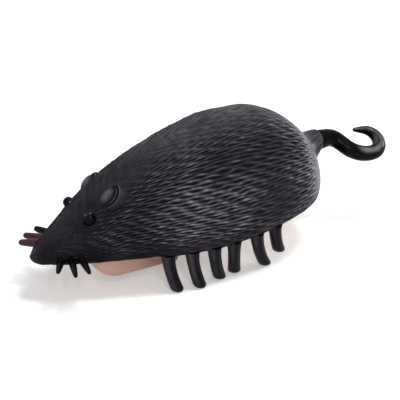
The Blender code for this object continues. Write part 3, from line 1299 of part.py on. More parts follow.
def build():
    for old in list(bpy.data.objects):
        bpy.data.objects.remove(old, do_unlink=True)

    fixed, rotor, door, door_turn, slider, tail_set = [], [], [], [], [], []
    fixed.append((upper_shell(), "shell_black"))
    fixed.append((belly_pan(), "flesh_plastic"))
    for piece in both_sides(leg_strip(), "right_leg_strip"):
        fixed.append((piece, "rubber_black"))
    fixed.append((whiskers("left_whiskers", LEFT_WHISKER_SHARES, LEFT_WHISKER_FORWARD_DEG), "rubber_black"))
    right = whiskers("whiskers", RIGHT_WHISKER_SHARES, RIGHT_WHISKER_FORWARD_DEG)
    fixed.append((both_sides(right, "right_whiskers")[1], "rubber_black"))
    bpy.data.meshes.remove(right.data)
    fixed.append((ball("left_eye", EYE_RADIUS, eye_centre(1)), "bead_black"))
    fixed.append((ball("right_eye", EYE_RADIUS, eye_centre(-1)), "bead_black"))
    fixed.append((motor_can(), "steel"))
    fixed.append((motor_bush(), "brass"))
    fixed.append((end_cap(), "white_plastic"))
    for piece in both_sides(magnet(), "right_magnet"):
        fixed.append((piece, "magnet_grey"))
    for piece in both_sides(motor_terminal(), "right_motor_terminal"):
        fixed.append((piece, "copper"))
    fixed.append((motor_clamp(), "black_plastic"))
    fixed.append((cell("front_cell", CELL_STATIONS[0], False), "steel"))
    fixed.append((cell("rear_cell", CELL_STATIONS[1], True), "steel"))
    fixed.append((cell_contact("front_contact", CELL_STATIONS[0]), "brass"))
    fixed.append((cell_contact("rear_contact", CELL_STATIONS[1]), "brass"))
    fixed.append((circuit_board(), "board_green"))
    fixed.append((switch_body(), "black_plastic"))
    fixed.append((motor_wire("red_wire", 1), "wire_red"))
    fixed.append((motor_wire("black_wire", -1), "wire_black"))
    for place_name, (out, station) in SHELL_SCREWS.items():
        seat = flange_top(station) - GAP
        made = screw(place_name + "_shell_screw", SHELL_SCREW_LENGTH, seat, out, station, True)
        fixed.append((made, "steel"))
    for side, side_name in ((1, "left"), (-1, "right")):
        seat = CLAMP_BOTTOM + CLAMP_THICKNESS + GAP
        made = screw(side_name + "_clamp_screw", CLAMP_SCREW_LENGTH, seat, side * CLAMP_SCREW_OUT,
                     CLAMP_STATION, False)
        fixed.append((made, "steel"))
        made = screw(side_name + "_board_screw", BOARD_SCREW_LENGTH, BOARD_TOP + GAP, side * BOARD_SCREW_OUT,
                     DOOR_SCREW_STATION, False)
        fixed.append((made, "steel"))

    rotor.append((motor_shaft(), "steel"))
    rotor.append((armature(), "copper"))
    rotor.append((commutator(), "brass"))
    rotor.append((eccentric_weight(), "steel"))
    door.append((battery_door(), "flesh_plastic"))
    door.append((cell_bridge(), "brass"))
    head_seat = BAY_BOTTOM + SCREW_SINK + SCREW_HEAD_HEIGHT - GAP
    made = screw("door_screw", DOOR_SCREW_LENGTH, head_seat, 0.0, DOOR_SCREW_STATION, True, sunk=True)
    door_turn.append((made, "steel"))
    slider.append((switch_slider(), "black_plastic"))
    tail_set.append((tail(), "tail_black"))
    tail_set.append((tail_clip(), "steel"))

    reach = max(point.y for ring in tail_rings() for point in ring)
    toy = carrier("toy", (0.0, -reach / 2, 0.0))
    door_point = Vector((0.0, (DOOR_START + DOOR_END) / 2, BAY_BOTTOM))
    screw_point = Vector((0.0, DOOR_SCREW_STATION, BAY_BOTTOM))
    groups = ((fixed, "body_frame", Vector()),
              (rotor, "rotor_axis", Vector((0.0, MOTOR_START, MOTOR_Z))),
              (door, "door_slide", door_point),
              (slider, "switch_slide", Vector((0.0, SWITCH_STATION, BAY_BOTTOM))),
              (tail_set, "tail_axis", Vector((0.0, BOSS_END, TAIL_Z))))
    carriers = {}
    for pieces, name, point in groups:
        carriers[name] = carrier(name, point, toy)
        for made, colour in pieces:
            seat_on(finish(made, colour), carriers[name], point)
    turning = carrier("door_screw_axis", screw_point - door_point, carriers["door_slide"])
    for made, colour in door_turn:
        seat_on(finish(made, colour), turning, screw_point)


build()
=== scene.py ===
import json
import math
import random

import bmesh
import bpy
import numpy as np
from mathutils import Euler, Matrix, Vector

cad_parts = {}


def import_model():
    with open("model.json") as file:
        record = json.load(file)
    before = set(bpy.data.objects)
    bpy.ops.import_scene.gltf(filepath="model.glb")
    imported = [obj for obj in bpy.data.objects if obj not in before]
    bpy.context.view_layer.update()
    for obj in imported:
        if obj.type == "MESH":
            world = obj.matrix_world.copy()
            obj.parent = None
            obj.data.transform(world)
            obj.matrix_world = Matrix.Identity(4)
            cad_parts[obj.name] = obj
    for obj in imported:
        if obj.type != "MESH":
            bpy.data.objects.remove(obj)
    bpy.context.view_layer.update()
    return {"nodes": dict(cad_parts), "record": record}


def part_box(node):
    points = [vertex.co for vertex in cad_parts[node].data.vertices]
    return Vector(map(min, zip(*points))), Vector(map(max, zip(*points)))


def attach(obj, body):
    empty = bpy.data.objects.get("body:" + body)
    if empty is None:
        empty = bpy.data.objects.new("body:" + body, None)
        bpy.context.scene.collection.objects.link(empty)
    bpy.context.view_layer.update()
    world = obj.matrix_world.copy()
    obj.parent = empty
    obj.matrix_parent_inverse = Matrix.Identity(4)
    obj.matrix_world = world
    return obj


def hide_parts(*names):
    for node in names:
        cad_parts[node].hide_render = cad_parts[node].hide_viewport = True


# Looks of the vibrating toy mouse: a moulded fur shell with ears and eyes, soft rubber legs, whiskers and
# tail, and a satin flesh-coloured belly. Lengths are in metres. A station is a distance from the nose tip,
# and a side is 1 for the left and -1 for the right.

mm = 0.001
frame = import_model()

BODY_LENGTH = 98.2 * mm
HALF_WIDTH = 24.0 * mm
BODY_TOP = 47.1 * mm
NOSE_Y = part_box("upper_shell")[0].y
GAP = 0.3 * mm  # between one moulding and the next

# The shell's form: the same columns as the CAD shell, as shares of length, width and height
STATIONS = (0.0, 0.02, 0.053, 0.095, 0.159, 0.244, 0.35, 0.456, 0.562, 0.668, 0.774, 0.859, 0.922,
            0.965, 0.99, 1.0)
WIDTHS = (0.07, 0.16, 0.256, 0.349, 0.473, 0.623, 0.786, 0.905, 0.98, 1.0, 0.954, 0.85, 0.705,
          0.54, 0.34, 0.15)
TOPS = (0.345, 0.38, 0.43, 0.493, 0.595, 0.719, 0.815, 0.891, 0.956, 1.0, 0.997, 0.937, 0.845,
        0.747, 0.657, 0.575)
WIDESTS = (0.312, 0.308, 0.309, 0.318, 0.336, 0.361, 0.39, 0.418, 0.437, 0.45, 0.454, 0.455, 0.458,
           0.466, 0.478, 0.49)
RIMS = (0.292, 0.278, 0.275, 0.277, 0.283, 0.291, 0.295, 0.296, 0.296, 0.303, 0.315, 0.325, 0.331,
        0.335, 0.338, 0.343)
RIM_WIDTHS = (0.6, 0.8, 0.86, 0.91, 0.94, 0.95, 0.95, 0.94, 0.91, 0.87, 0.84, 0.83, 0.84, 0.85, 0.85, 0.85)

SIDES = ((1, "left"), (-1, "right"))
EYE_STATION, EYE_OUT, EYE_RADIUS, EYE_LIFT = 16.0 * mm, 6.8 * mm, 1.5 * mm, 0.3 * mm
EAR_STATION, EAR_OUTS, EAR_BEHIND = 22.7 * mm, {1: 6.8 * mm, -1: 4.9 * mm}, {1: 0.9 * mm, -1: 0.1 * mm}


def blended(column, shares):
    """A column's values at these shares of the length, on the CAD shell's own smooth curve."""
    s = np.asarray(STATIONS)
    v = np.asarray(column)
    rise = np.diff(v) / np.diff(s)
    slope = np.zeros(len(v))
    slope[0], slope[-1] = rise[0], rise[-1]
    for i in range(1, len(v) - 1):
        if rise[i - 1] * rise[i] > 0.0:
            slope[i] = 2.0 * rise[i - 1] * rise[i] / (rise[i - 1] + rise[i])
    shares = np.clip(np.asarray(shares, float), 0.0, 1.0)
    row = np.clip(np.searchsorted(s, shares, side="right") - 1, 0, len(s) - 2)
    width = s[row + 1] - s[row]
    t = (shares - s[row]) / width
    t2, t3 = t * t, t * t * t
    return (v[row] * (2 * t3 - 3 * t2 + 1) + slope[row] * width * (t3 - 2 * t2 + t)
            + v[row + 1] * (3 * t2 - 2 * t3) + slope[row + 1] * width * (t3 - t2))


def along_body(column, scale):
    """A function that gives a column's value, at this scale, for one station or for many."""
    return lambda station: scale * blended(column, np.asarray(station) / BODY_LENGTH)


half_width, rim_share = along_body(WIDTHS, HALF_WIDTH), along_body(RIM_WIDTHS, 1.0)
top, widest, rim = along_body(TOPS, BODY_TOP), along_body(WIDESTS, BODY_TOP), along_body(RIMS, BODY_TOP)


def surface_point(out, station):
    """Point of the shell above a place at this distance from its middle."""
    share = min(abs(out) / half_width(station), 1.0)
    middle = widest(station)
    z = middle + (top(station) - middle) * math.sqrt(1.0 - share * share)
    return Vector((out, NOSE_Y + station, z))


def surface_normal(out, station):
    step = 0.5 * mm
    along_x = surface_point(out + step, station).z - surface_point(out - step, station).z
    along_y = surface_point(out, station + step).z - surface_point(out, station - step).z
    return Vector((-along_x / (2 * step), -along_y / (2 * step), 1.0)).normalized()


def eye_centre(side):
    return surface_point(side * EYE_OUT, EYE_STATION) + surface_normal(side * EYE_OUT, EYE_STATION) * EYE_LIFT


def ear_root(side):
    return surface_point(side * EAR_OUTS[side], EAR_STATION + EAR_BEHIND[side])


# Curves

def smooth_step(low, high, value):
    """A smooth rise from 0 at low to 1 at high."""
    t = np.clip((value - low) / (high - low), 0.0, 1.0)
    return t * t * (3.0 - 2.0 * t)


def fall(low, high, value):
    """A smooth fall from 1 at low to 0 at high."""
    return 1.0 - smooth_step(low, high, value)


def hill(value, centre, width):
    """A smooth hill of height 1."""
    return np.exp(-((value - centre) / width) ** 2)


def running(steps):
    """The distance run before each step and after the last."""
    return np.concatenate([[0.0], np.cumsum(steps)])


def circle(count):
    """Pairs of cosine and sine, once round."""
    return [(math.cos(math.tau * k / count), math.sin(math.tau * k / count)) for k in range(count)]


# Meshes

def new_object(name, data):
    made = bpy.data.objects.new(name, data)
    bpy.context.scene.collection.objects.link(made)
    return made


def mesh_object(name, points, faces):
    mesh = bpy.data.meshes.new(name)
    mesh.from_pydata([tuple(p) for p in points], [], faces)
    mesh.update()
    return new_object(name, mesh)


def outward(obj):
    """The object with its faces turned outwards."""
    shape = bmesh.new()
    shape.from_mesh(obj.data)
    bmesh.ops.recalc_face_normals(shape, faces=shape.faces)
    shape.to_mesh(obj.data)
    shape.free()
    return obj


def ring_faces(row, count):
    """Faces between a ring of points and the next."""
    first = [row * count + at for at in range(count)]
    return [(a, b, b + count, a + count) for a, b in zip(first, first[1:] + first[:1])]


def middle_of(ring):
    return sum((Vector(p) for p in ring), Vector()) / len(ring)


def loft(name, rings, closed=True):
    """A tube through rings of equally many points, with a fan at each end if it is closed."""
    count = len(rings[0])
    points = [p for ring in rings for p in ring]
    faces = [face for row in range(len(rings) - 1) for face in ring_faces(row, count)]
    for row in (0, len(rings) - 1) if closed else ():
        faces += [(a, b, len(points)) for a, b, *_ in ring_faces(row, count)]
        points.append(middle_of(rings[row]))
    return outward(mesh_object(name, points, faces))


def applied(obj):
    """The object with its modifiers turned into its mesh."""
    graph = bpy.context.evaluated_depsgraph_get()
    mesh = bpy.data.meshes.new_from_object(obj.evaluated_get(graph))
    obj.modifiers.clear()
    old = obj.data
    obj.data = mesh
    bpy.data.meshes.remove(old)
    return obj


def smooth(obj, degrees=180.0):
    obj.data.shade_smooth()
    if degrees < 180.0:
        obj.data.set_sharp_from_angle(angle=math.radians(degrees))
    return obj


def moulded(name, side, parts, voxel, smooth_steps):
    """One skin with softened joints over several solids, as a rubber moulding has, mirrored for side -1."""
    shape = bmesh.new()
    for part in parts:
        shape.from_mesh(part.data)
        bpy.data.objects.remove(part, do_unlink=True)
    mesh = bpy.data.meshes.new(name)
    shape.to_mesh(mesh)
    shape.free()
    made = new_object(name, mesh)
    if side < 0:
        mesh.transform(Matrix.Scale(-1.0, 4, Vector((1.0, 0.0, 0.0))))
        mesh.flip_normals()
    remesh = made.modifiers.new("fuse", "REMESH")
    remesh.mode = "VOXEL"
    remesh.voxel_size = voxel
    soften = made.modifiers.new("soften", "SMOOTH")
    soften.factor = 0.6
    soften.iterations = smooth_steps
    return smooth(applied(made))


def stored(obj, name, values, kind="FLOAT", field="value"):
    """The object with values for its vertices, as an attribute that a material reads."""
    values = np.ascontiguousarray(values, np.float32).reshape(-1)
    obj.data.attributes.new(name, kind, "POINT").data.foreach_set(field, values)
    return obj


def vertex_vectors(obj, field):
    values = np.zeros(len(obj.data.vertices) * 3, np.float32)
    obj.data.vertices.foreach_get(field, values)
    return values.reshape(-1, 3)


# Materials

def tree_of(name, colour, roughness, metallic=0.0, specular=0.5):
    """A new material, its node tree and its shader."""
    made = bpy.data.materials.new(name)
    made.use_nodes = True
    shader = made.node_tree.nodes["Principled BSDF"]
    for socket, value in (("Base Color", (*colour, 1.0)), ("Roughness", roughness), ("Metallic", metallic),
                          ("Specular IOR Level", specular)):
        shader.inputs[socket].default_value = value
    return made, made.node_tree, shader


def ramp(tree, source, stops):
    """A colour ramp over a value, from pairs of a place and a grey or a colour."""
    made = tree.nodes.new("ShaderNodeValToRGB")
    elements = made.color_ramp.elements
    while len(elements) < len(stops):
        elements.new(0.5)
    for element, (place, colour) in zip(elements, stops):
        element.position = place
        element.color = (*colour, 1.0) if isinstance(colour, tuple) else (colour, colour, colour, 1.0)
    tree.links.new(source, made.inputs["Fac"])
    return made.outputs["Color"]


def mixed(tree, factor, first, second, blend="MIX"):
    made = tree.nodes.new("ShaderNodeMix")
    made.data_type = "RGBA"
    made.blend_type = blend
    sockets = [s for s in made.inputs if s.enabled]
    for socket, value in zip(sockets, (factor, first, second)):
        if isinstance(value, bpy.types.NodeSocket):
            tree.links.new(value, socket)
        else:
            socket.default_value = (*value, 1.0) if isinstance(value, tuple) else value
    return [s for s in made.outputs if s.enabled][0]


def multiplied(tree, first, second):
    return mixed(tree, 1.0, first, second, "MULTIPLY")


def noise(tree, scale, detail=3.0, stretch=None, vector=None):
    """A noise texture on object coordinates, or on the coordinates that are given."""
    if vector is None:
        vector = tree.nodes.new("ShaderNodeTexCoord").outputs["Object"]
    if stretch:
        mapping = tree.nodes.new("ShaderNodeMapping")
        mapping.inputs["Scale"].default_value = stretch
        tree.links.new(vector, mapping.inputs["Vector"])
        vector = mapping.outputs["Vector"]
    made = tree.nodes.new("ShaderNodeTexNoise")
    made.inputs["Scale"].default_value = scale
    made.inputs["Detail"].default_value = detail
    tree.links.new(vector, made.inputs["Vector"])
    return made.outputs["Fac"]


def bump(tree, height, distance, strength, before=None):
    made = tree.nodes.new("ShaderNodeBump")
    made.inputs["Strength"].default_value = strength
    made.inputs["Distance"].default_value = distance
    tree.links.new(height, made.inputs["Height"])
    if before is not None:
        tree.links.new(before, made.inputs["Normal"])
    return made.outputs["Normal"]


def attribute(tree, name, output):
    made = tree.nodes.new("ShaderNodeAttribute")
    made.attribute_name = name
    return made.outputs[output]


def linked(tree, shader, colour, rough, normal=None):
    """Links what drives the shader's colour, its roughness and its normal."""
    for source, socket in ((colour, "Base Color"), (rough, "Roughness"), (normal, "Normal")):
        if source is not None:
            tree.links.new(source, shader.inputs[socket])


FUR_TONES = ((0.0, (0.0065, 0.0052, 0.0082)), (0.38, (0.0115, 0.0097, 0.014)), (0.62, (0.0245, 0.0215, 0.0287)),
             (0.8, (0.072, 0.0658, 0.08)), (1.0, (0.175, 0.166, 0.186)))  # from a groove painted as shade to a crest painted light as wear and highlight
FUR_POLISHED = (0.0195, 0.0175, 0.0222)
FUR_SHINE = ((0.3, 0.8), (0.6, 0.48), (0.85, 0.34))  # roughness by relief
STRAND_SCALE = (260.0, 5200.0, 1.0)  # along the locks and across them


def fur_material():
    """Matt black moulding: creases painted dark as shade, ridges painted light as wear and as highlight, fine
    strands along the locks, a polished snout.
    """
    made, tree, shader = tree_of("moulded_fur", (0.03, 0.029, 0.032), 0.5, specular=0.1)
    relief, polish = attribute(tree, "relief", "Fac"), attribute(tree, "polish", "Fac")
    strands = noise(tree, 1.0, 2.0, STRAND_SCALE, attribute(tree, "flow", "Vector"))
    patches = noise(tree, 90.0, 4.0)
    grain = noise(tree, 2600.0, 2.0)
    colour = multiplied(tree, ramp(tree, relief, FUR_TONES), ramp(tree, patches, ((0.35, 0.72), (0.7, 1.25))))
    colour = multiplied(tree, colour, ramp(tree, noise(tree, 620.0), ((0.36, 0.76), (0.66, 1.22))))
    colour = mixed(tree, polish, colour, FUR_POLISHED)
    rough = multiplied(tree, ramp(tree, relief, FUR_SHINE), ramp(tree, patches, ((0.3, 1.1), (0.75, 0.9))))
    rough = mixed(tree, polish, rough, (0.2, 0.2, 0.2))
    normal = bump(tree, grain, 0.02 * mm, 0.35, bump(tree, strands, 0.12 * mm, 0.5))
    linked(tree, shader, colour, rough, normal)
    return made


def rubber_material(name, colour, lit, rough_low, rough_high, specular=0.25, wear_and_sheen=None):
    """Soft rubber with faint flow marks, a little dust, a fine grain, and a painted highlight where the mesh
    marks one.
    """
    made, tree, shader = tree_of(name, colour, (rough_low + rough_high) / 2, specular=specular)
    patches = noise(tree, 160.0, 4.0)
    dust = noise(tree, 700.0, 5.0)
    dusty = tuple(c * 2.2 for c in lit)
    shade = mixed(tree, ramp(tree, patches, ((0.3, 0.0), (0.75, 1.0))), colour, lit)
    shade = mixed(tree, ramp(tree, dust, ((0.62, 0.0), (0.8, 0.5))), shade, dusty)
    if wear_and_sheen:
        # Painted highlight: the marked sides take the lighter colour, broken into patches.
        sheen_patches = ramp(tree, noise(tree, 240.0, stretch=(1.0, 1.0, 0.5)), ((0.36, 0.4), (0.58, 1.0)))
        shade = mixed(tree, multiplied(tree, attribute(tree, "wear_and_sheen", "Color"), sheen_patches), shade, wear_and_sheen)
    rough = ramp(tree, patches, ((0.25, rough_low), (0.8, rough_high)))
    linked(tree, shader, shade, rough, bump(tree, noise(tree, 900.0), 0.04 * mm, 0.3))
    return made


def plastic_material(name, colour, dark, rough_low, rough_high):
    """Satin moulded plastic with cloudy colour, fine texture and slight handling marks."""
    made, tree, shader = tree_of(name, colour, (rough_low + rough_high) / 2)
    clouds = noise(tree, 60.0, 4.0)
    marks = noise(tree, 420.0, 6.0, (1.0, 0.25, 1.0))
    shade = mixed(tree, ramp(tree, clouds, ((0.3, 0.0), (0.75, 1.0))), dark, colour)
    rough = ramp(tree, marks, ((0.35, rough_low), (0.7, rough_high)))
    linked(tree, shader, shade, rough, bump(tree, noise(tree, 1800.0, 2.0), 0.03 * mm, 0.25))
    return made


def metal_material(name, colour, rough_low, rough_high):
    """Drawn or plated metal with brush lines and uneven tone."""
    made, tree, shader = tree_of(name, colour, (rough_low + rough_high) / 2, 1.0)
    brush = noise(tree, 900.0, stretch=(1.0, 1.0, 0.15))
    tone = ramp(tree, noise(tree, 150.0), ((0.3, 0.0), (0.7, 1.0)))
    shade = mixed(tree, tone, tuple(c * 0.8 for c in colour), colour)
    rough = ramp(tree, brush, ((0.3, rough_low), (0.7, rough_high)))
    linked(tree, shader, shade, rough, bump(tree, brush, 0.01 * mm, 0.2))
    return made


def bead_material():
    """Glossy black with a faint smear."""
    made, tree, shader = tree_of("bead", (0.002, 0.002, 0.003), 0.08, specular=0.06)
    smear = noise(tree, 500.0)
    rough = ramp(tree, smear, ((0.3, 0.2), (0.8, 0.3)))
    clear = ramp(tree, smear, ((0.3, 0.0), (0.8, 1.0)))
    linked(tree, shader, mixed(tree, clear, (0.0022, 0.0015, 0.0034), (0.0045, 0.0033, 0.006)), rough)
    return made


MATERIALS = {  # by slot
    "shell_black": fur_material(),
    # The last colour of the legs and of the tail is their painted highlight.
    "rubber_black": rubber_material("leg_rubber", (0.0016, 0.0012, 0.002), (0.0045, 0.0037, 0.0053), 0.24, 0.34,
                                    0.06, (0.085, 0.078, 0.093)),
    "tail_black": rubber_material("tail_rubber", (0.0008, 0.0007, 0.0009), (0.002, 0.0018, 0.0023), 0.17, 0.24,
                                  0.06, (0.16, 0.155, 0.166)),
    "bead_black": bead_material(),
    "steel": metal_material("plated_steel", (0.62, 0.62, 0.63), 0.22, 0.4),
    "brass": metal_material("brass", (0.72, 0.52, 0.24), 0.2, 0.4),
    "copper": metal_material("copper", (0.76, 0.40, 0.24), 0.3, 0.5)}
for slot, look in {
        "flesh_plastic": ("flesh_plastic", (0.58, 0.35, 0.275), (0.5, 0.29, 0.22), 0.36, 0.55),
        "magnet_grey": ("magnet", (0.09, 0.09, 0.095), (0.06, 0.06, 0.065), 0.5, 0.7),
        "white_plastic": ("white_plastic", (0.74, 0.72, 0.68), (0.66, 0.64, 0.6), 0.35, 0.5),
        "black_plastic": ("black_plastic", (0.03, 0.03, 0.032), (0.02, 0.02, 0.021), 0.35, 0.5),
        "board_green": ("board", (0.07, 0.25, 0.11), (0.045, 0.17, 0.075), 0.3, 0.5),
        "wire_red": ("wire_red", (0.55, 0.03, 0.02), (0.4, 0.02, 0.015), 0.3, 0.45),
        "wire_black": ("wire_black", (0.02, 0.02, 0.02), (0.012, 0.012, 0.012), 0.3, 0.45)}.items():
    MATERIALS[slot] = plastic_material(*look)
WHISKER_RUBBER = rubber_material("whisker_rubber", (0.002, 0.0017, 0.0023), (0.004, 0.0034, 0.0044), 0.2, 0.3,
                                 0.07)
# The same black rubber as the near whiskers, tinted maroon as painted reflected light from the pink belly.
FAR_WHISKER_PAINTED_REFLECTION = rubber_material("far_whisker_painted_reflection", (0.034, 0.008, 0.012), (0.06, 0.016, 0.022), 0.28, 0.42)


def dressed(obj, body, slot, *replaced, material=None):
    """The object on its body, in its slot and its material, in place of the CAD nodes that it stands for."""
    obj.data.materials.clear()
    obj.data.materials.append(material or MATERIALS[slot])
    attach(obj, body)
    if replaced:
        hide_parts(*replaced)


# Fur shell

ROW_STEP = 0.28 * mm
DOME_COLUMNS, TUCK_COLUMNS = 232, 46  # columns above and below the widest place, on each side
NOSE_BULGE, RUMP_BULGE, CAP_ROWS = 0.7 * mm, 0.6 * mm, 10
NOSE_DROP = 0.6 * mm


def station_rows():
    """Stations spaced evenly along the flank's own length, so that the rounded ends get rows enough."""
    fine = np.linspace(0.0, BODY_LENGTH, 6000)
    inwards = 0.5 * np.abs(np.diff(half_width(fine))) + 0.5 * np.abs(np.diff(top(fine)))
    run = running(np.hypot(np.diff(fine), inwards))
    return np.interp(np.linspace(0.0, run[-1], int(run[-1] / ROW_STEP)), run, fine)


def section_points(stations):
    """Rows of points from the left rim over the ridge to the right rim, and the columns' t: -1 at a rim, 0 at
    the widest place and 1 on the ridge."""
    t = np.concatenate([np.linspace(-1.0, 0.0, TUCK_COLUMNS, endpoint=False),
                        np.linspace(0.0, 1.0, DOME_COLUMNS)])
    w, crown = half_width(stations)[:, None], top(stations)[:, None]
    middle, low = widest(stations)[:, None], rim(stations)[:, None]
    tuck = np.arccos(np.clip(rim_share(stations), -1.0, 1.0))[:, None]
    angle = np.where(t < 0.0, t * tuck, t * math.pi / 2)
    x = w * np.cos(angle)
    below = middle + (middle - low) * np.sin(angle) / np.sin(tuck)
    above = middle + (crown - middle) * np.sin(angle)
    z = np.where(t < 0.0, below, above)
    y = np.broadcast_to(NOSE_Y + stations[:, None], x.shape)
    left = np.stack([x, y, z], axis=2)
    right = left[:, -2::-1, :] * np.array([-1.0, 1.0, 1.0])
    return np.concatenate([left, right], axis=1), np.concatenate([t, t[-2::-1]])


def grid_normals(points):
    normal = np.cross(np.gradient(points, axis=1), np.gradient(points, axis=0))
    length = np.linalg.norm(normal, axis=2, keepdims=True)
    normal = normal / np.maximum(length, 1e-12)
    return normal * np.sign(np.sum(normal[:, points.shape[1] // 2, 2]))


LOCK_ROWS = 41  # rows of locks from a rim up to the ridge
LOCK_LENGTH = 7.4 * mm
LOCK_HEIGHT = 0.8 * mm
LOCK_REACH = 0.57  # half a lock's width, of the space between rows
LOCK_SWAY = 0.15  # sideways sway of a row, of the same space
LOCK_CLIMB = ((0.0, -4.0), (0.26, -5.5), (0.49, -5.8), (0.585, -4.8), (0.68, -1.0), (0.77, 1.5), (0.876, 5.7),
              (1.0, 7.0))  # degrees that rows rise, by share of the length
LOCK_BEATS = (((0.31, 0.47), 0.07), ((0.9, 1.6), 0.08), ((2.1, 2.9), 0.05))  # rates along a lock, and sizes
SMALLEST_PITCH = 0.55 * mm
REST_RELIEF = 0.62  # relief that lies on the plain skin
LEFT_SEED, RIGHT_SEED, BLOTCH_SEED, BOSS_SEED = 11, 23, 5, 3


def waves(rng, count, low, high):
    """Random slow waves for two coordinates, as rows of two rates, a phase and a size."""
    return [(rng.uniform(low, high) * rng.choice((1, -1)), rng.uniform(low, high), rng.uniform(0.0, math.tau),
             rng.uniform(0.5, 1.0) / count) for _ in range(count)]


def wave_sum(rows, a, b):
    return sum(size * np.sin(rate_a * a + rate_b * b + phase) for rate_a, rate_b, phase, size in rows)


def side_relief(rng, lap, place, climb):
    """Locks on one side, between 0 in a groove and 1 on a crest: swaying rows that rise towards the rump."""
    count = LOCK_ROWS + int(climb.max() - climb.min()) + 10
    shift = np.cumsum([rng.uniform(0.3, 0.56) for _ in range(count)])
    sway = np.array([LOCK_SWAY * rng.uniform(0.6, 1.35) for _ in range(count)])
    beats = [[np.array([rng.uniform(*span) for _ in range(count)]) for span in (rates, (0.0, 1.0))]
             for rates, _ in LOCK_BEATS]
    drift, slide, kink = waves(rng, 6, 0.25, 0.9), waves(rng, 6, 0.2, 0.7), waves(rng, 9, 2.0, 6.5)
    u = lap[:, None] + 0.0 * place[None, :]
    r = place[None, :] + (climb.max() - climb)[:, None] + 3.0
    r = r + 1.2 * wave_sum(drift, u, r * 0.5) + 0.42 * wave_sum(kink, u, r * 0.4)
    u = u + 0.9 * wave_sum(slide, u, r * 0.8)
    base = np.floor(r).astype(int)
    relief = np.zeros(r.shape)
    for step in (-1, 0, 1, 2):
        index = np.clip(base + step, 0, count - 1)
        beat = u + shift[index]
        centre = base + step + sway[index] * np.sin(math.tau * beat)
        lift = 0.8 + 0.1 * np.sin(math.tau * (beat - 0.1))
        for (rate, phase), (_, size) in zip(beats, LOCK_BEATS):
            lift = lift + size * np.sin(math.tau * (u * rate[index] + phase[index]))
        ratio = (r - centre) / LOCK_REACH
        relief = np.maximum(relief, lift * np.clip(1.0 - ratio * ratio, 0.0, 1.0) ** 0.9)
    return relief


def lock_relief(points):
    """Fur over the whole shell, each side with its own locks."""
    cols = points.shape[1]
    across = np.linalg.norm(np.diff(points, axis=1), axis=2)
    girth = across.sum(axis=1)
    run = running(across[int(np.argmax(girth))])[:cols // 2 + 1]
    place = run / run[-1] * LOCK_ROWS
    step = np.linalg.norm(np.diff(points[:, cols // 4], axis=0), axis=1)
    size = 0.42 + 0.58 * girth / girth.max()
    lap = running(step / (LOCK_LENGTH * 0.5 * (size[1:] + size[:-1])))
    along = running(step)
    rise = np.tan(np.radians(np.interp(along / along[-1], *zip(*LOCK_CLIMB))))
    pitch = np.maximum(girth / 2 / LOCK_ROWS, SMALLEST_PITCH)
    climb = running(step * (rise / pitch)[1:])
    left, right = (side_relief(random.Random(seed), lap, place, climb) for seed in (LEFT_SEED, RIGHT_SEED))
    seam = 0.5 * (left[:, -1:] + right[:, -1:])
    near = smooth_step(LOCK_ROWS - 2.0, LOCK_ROWS, place)[None, :]
    left, right = left + (seam - left) * near, right + (seam - right) * near
    return np.concatenate([left, right[:, -2::-1]], axis=1)


def fur_strength(s, t):
    """How strong the locks stand, by share of the length and by t: full on the flanks, none at the nose."""
    fine = (0.92 - 0.18 * smooth_step(0.3, 0.45, s)) * (1.0 - 0.7 * smooth_step(0.8, 0.95, s))
    ridge = 1.0 - fine * smooth_step(0.5, 0.9, t)
    head = 0.4 + 0.3 * smooth_step(0.08, 0.2, s) + 0.3 * smooth_step(0.2, 0.36, s)
    low_edge = 0.5 + 0.5 * smooth_step(-0.8, 0.0, t)
    rump = 1.0 - 0.9 * smooth_step(0.87, 0.95, s)
    wear_and_sheen = 1.0 - 0.62 * hill(s, 0.75, 0.085) * hill(t, 0.1, 0.24)
    return ridge * head * low_edge * rump * wear_and_sheen * smooth_step(0.012, 0.05, s + 0.02)


def rest_tone(s, t):
    """The level that locks rise and sink from in the material: lighter along the back, dark on the head,
    painted light on the rump and the mid flank, and painted shade on the upper and rear flank, above the
    whisker pads and towards the rim.
    """
    back = smooth_step(0.68, 0.97, t) * smooth_step(0.3, 0.55, s)
    # Painted rim light: the rump's edge made lighter.
    rump = smooth_step(0.86, 0.95, s) * smooth_step(-1.1, 0.2, t)
    # Painted shadow: a dark band above the whisker pads.
    muzzle_shadow = fall(-0.1, 0.3, t) * smooth_step(0.055, 0.08, s) * fall(0.16, 0.22, s)
    shade = hill(t, 0.56, 0.18) * smooth_step(0.42, 0.56, s) * fall(0.84, 0.92, s)
    # Painted shade: a darker patch on the rear flank.
    rear_flank_shade = hill(s, 0.74, 0.1) * hill(t, 0.12, 0.26)
    # Painted light: a lighter patch on the mid flank.
    wear_and_sheen = hill(s, 0.46, 0.18) * hill(t, 0.22, 0.26)
    low = 0.455 + 0.165 * smooth_step(0.28, 0.46, s)
    # Painted shade: darker below the widest place, towards the rim.
    edge = fall(-0.75, -0.1, t) * smooth_step(0.2, 0.3, s)
    return (low + 0.07 * back + 0.34 * rump - 0.22 * rear_flank_shade + 0.1 * wear_and_sheen - 0.42 * muzzle_shadow - 0.2 * shade
            - 0.2 * edge)


# From and to distances from the eye and from the ear's root
EYE_CALM, EYE_DENT, EAR_CALM, EAR_MOUND = ((1.6 * mm, 3.4 * mm), (1.2 * mm, 2.1 * mm), (3.4 * mm, 6.0 * mm),
                                           (1.5 * mm, 5.0 * mm))


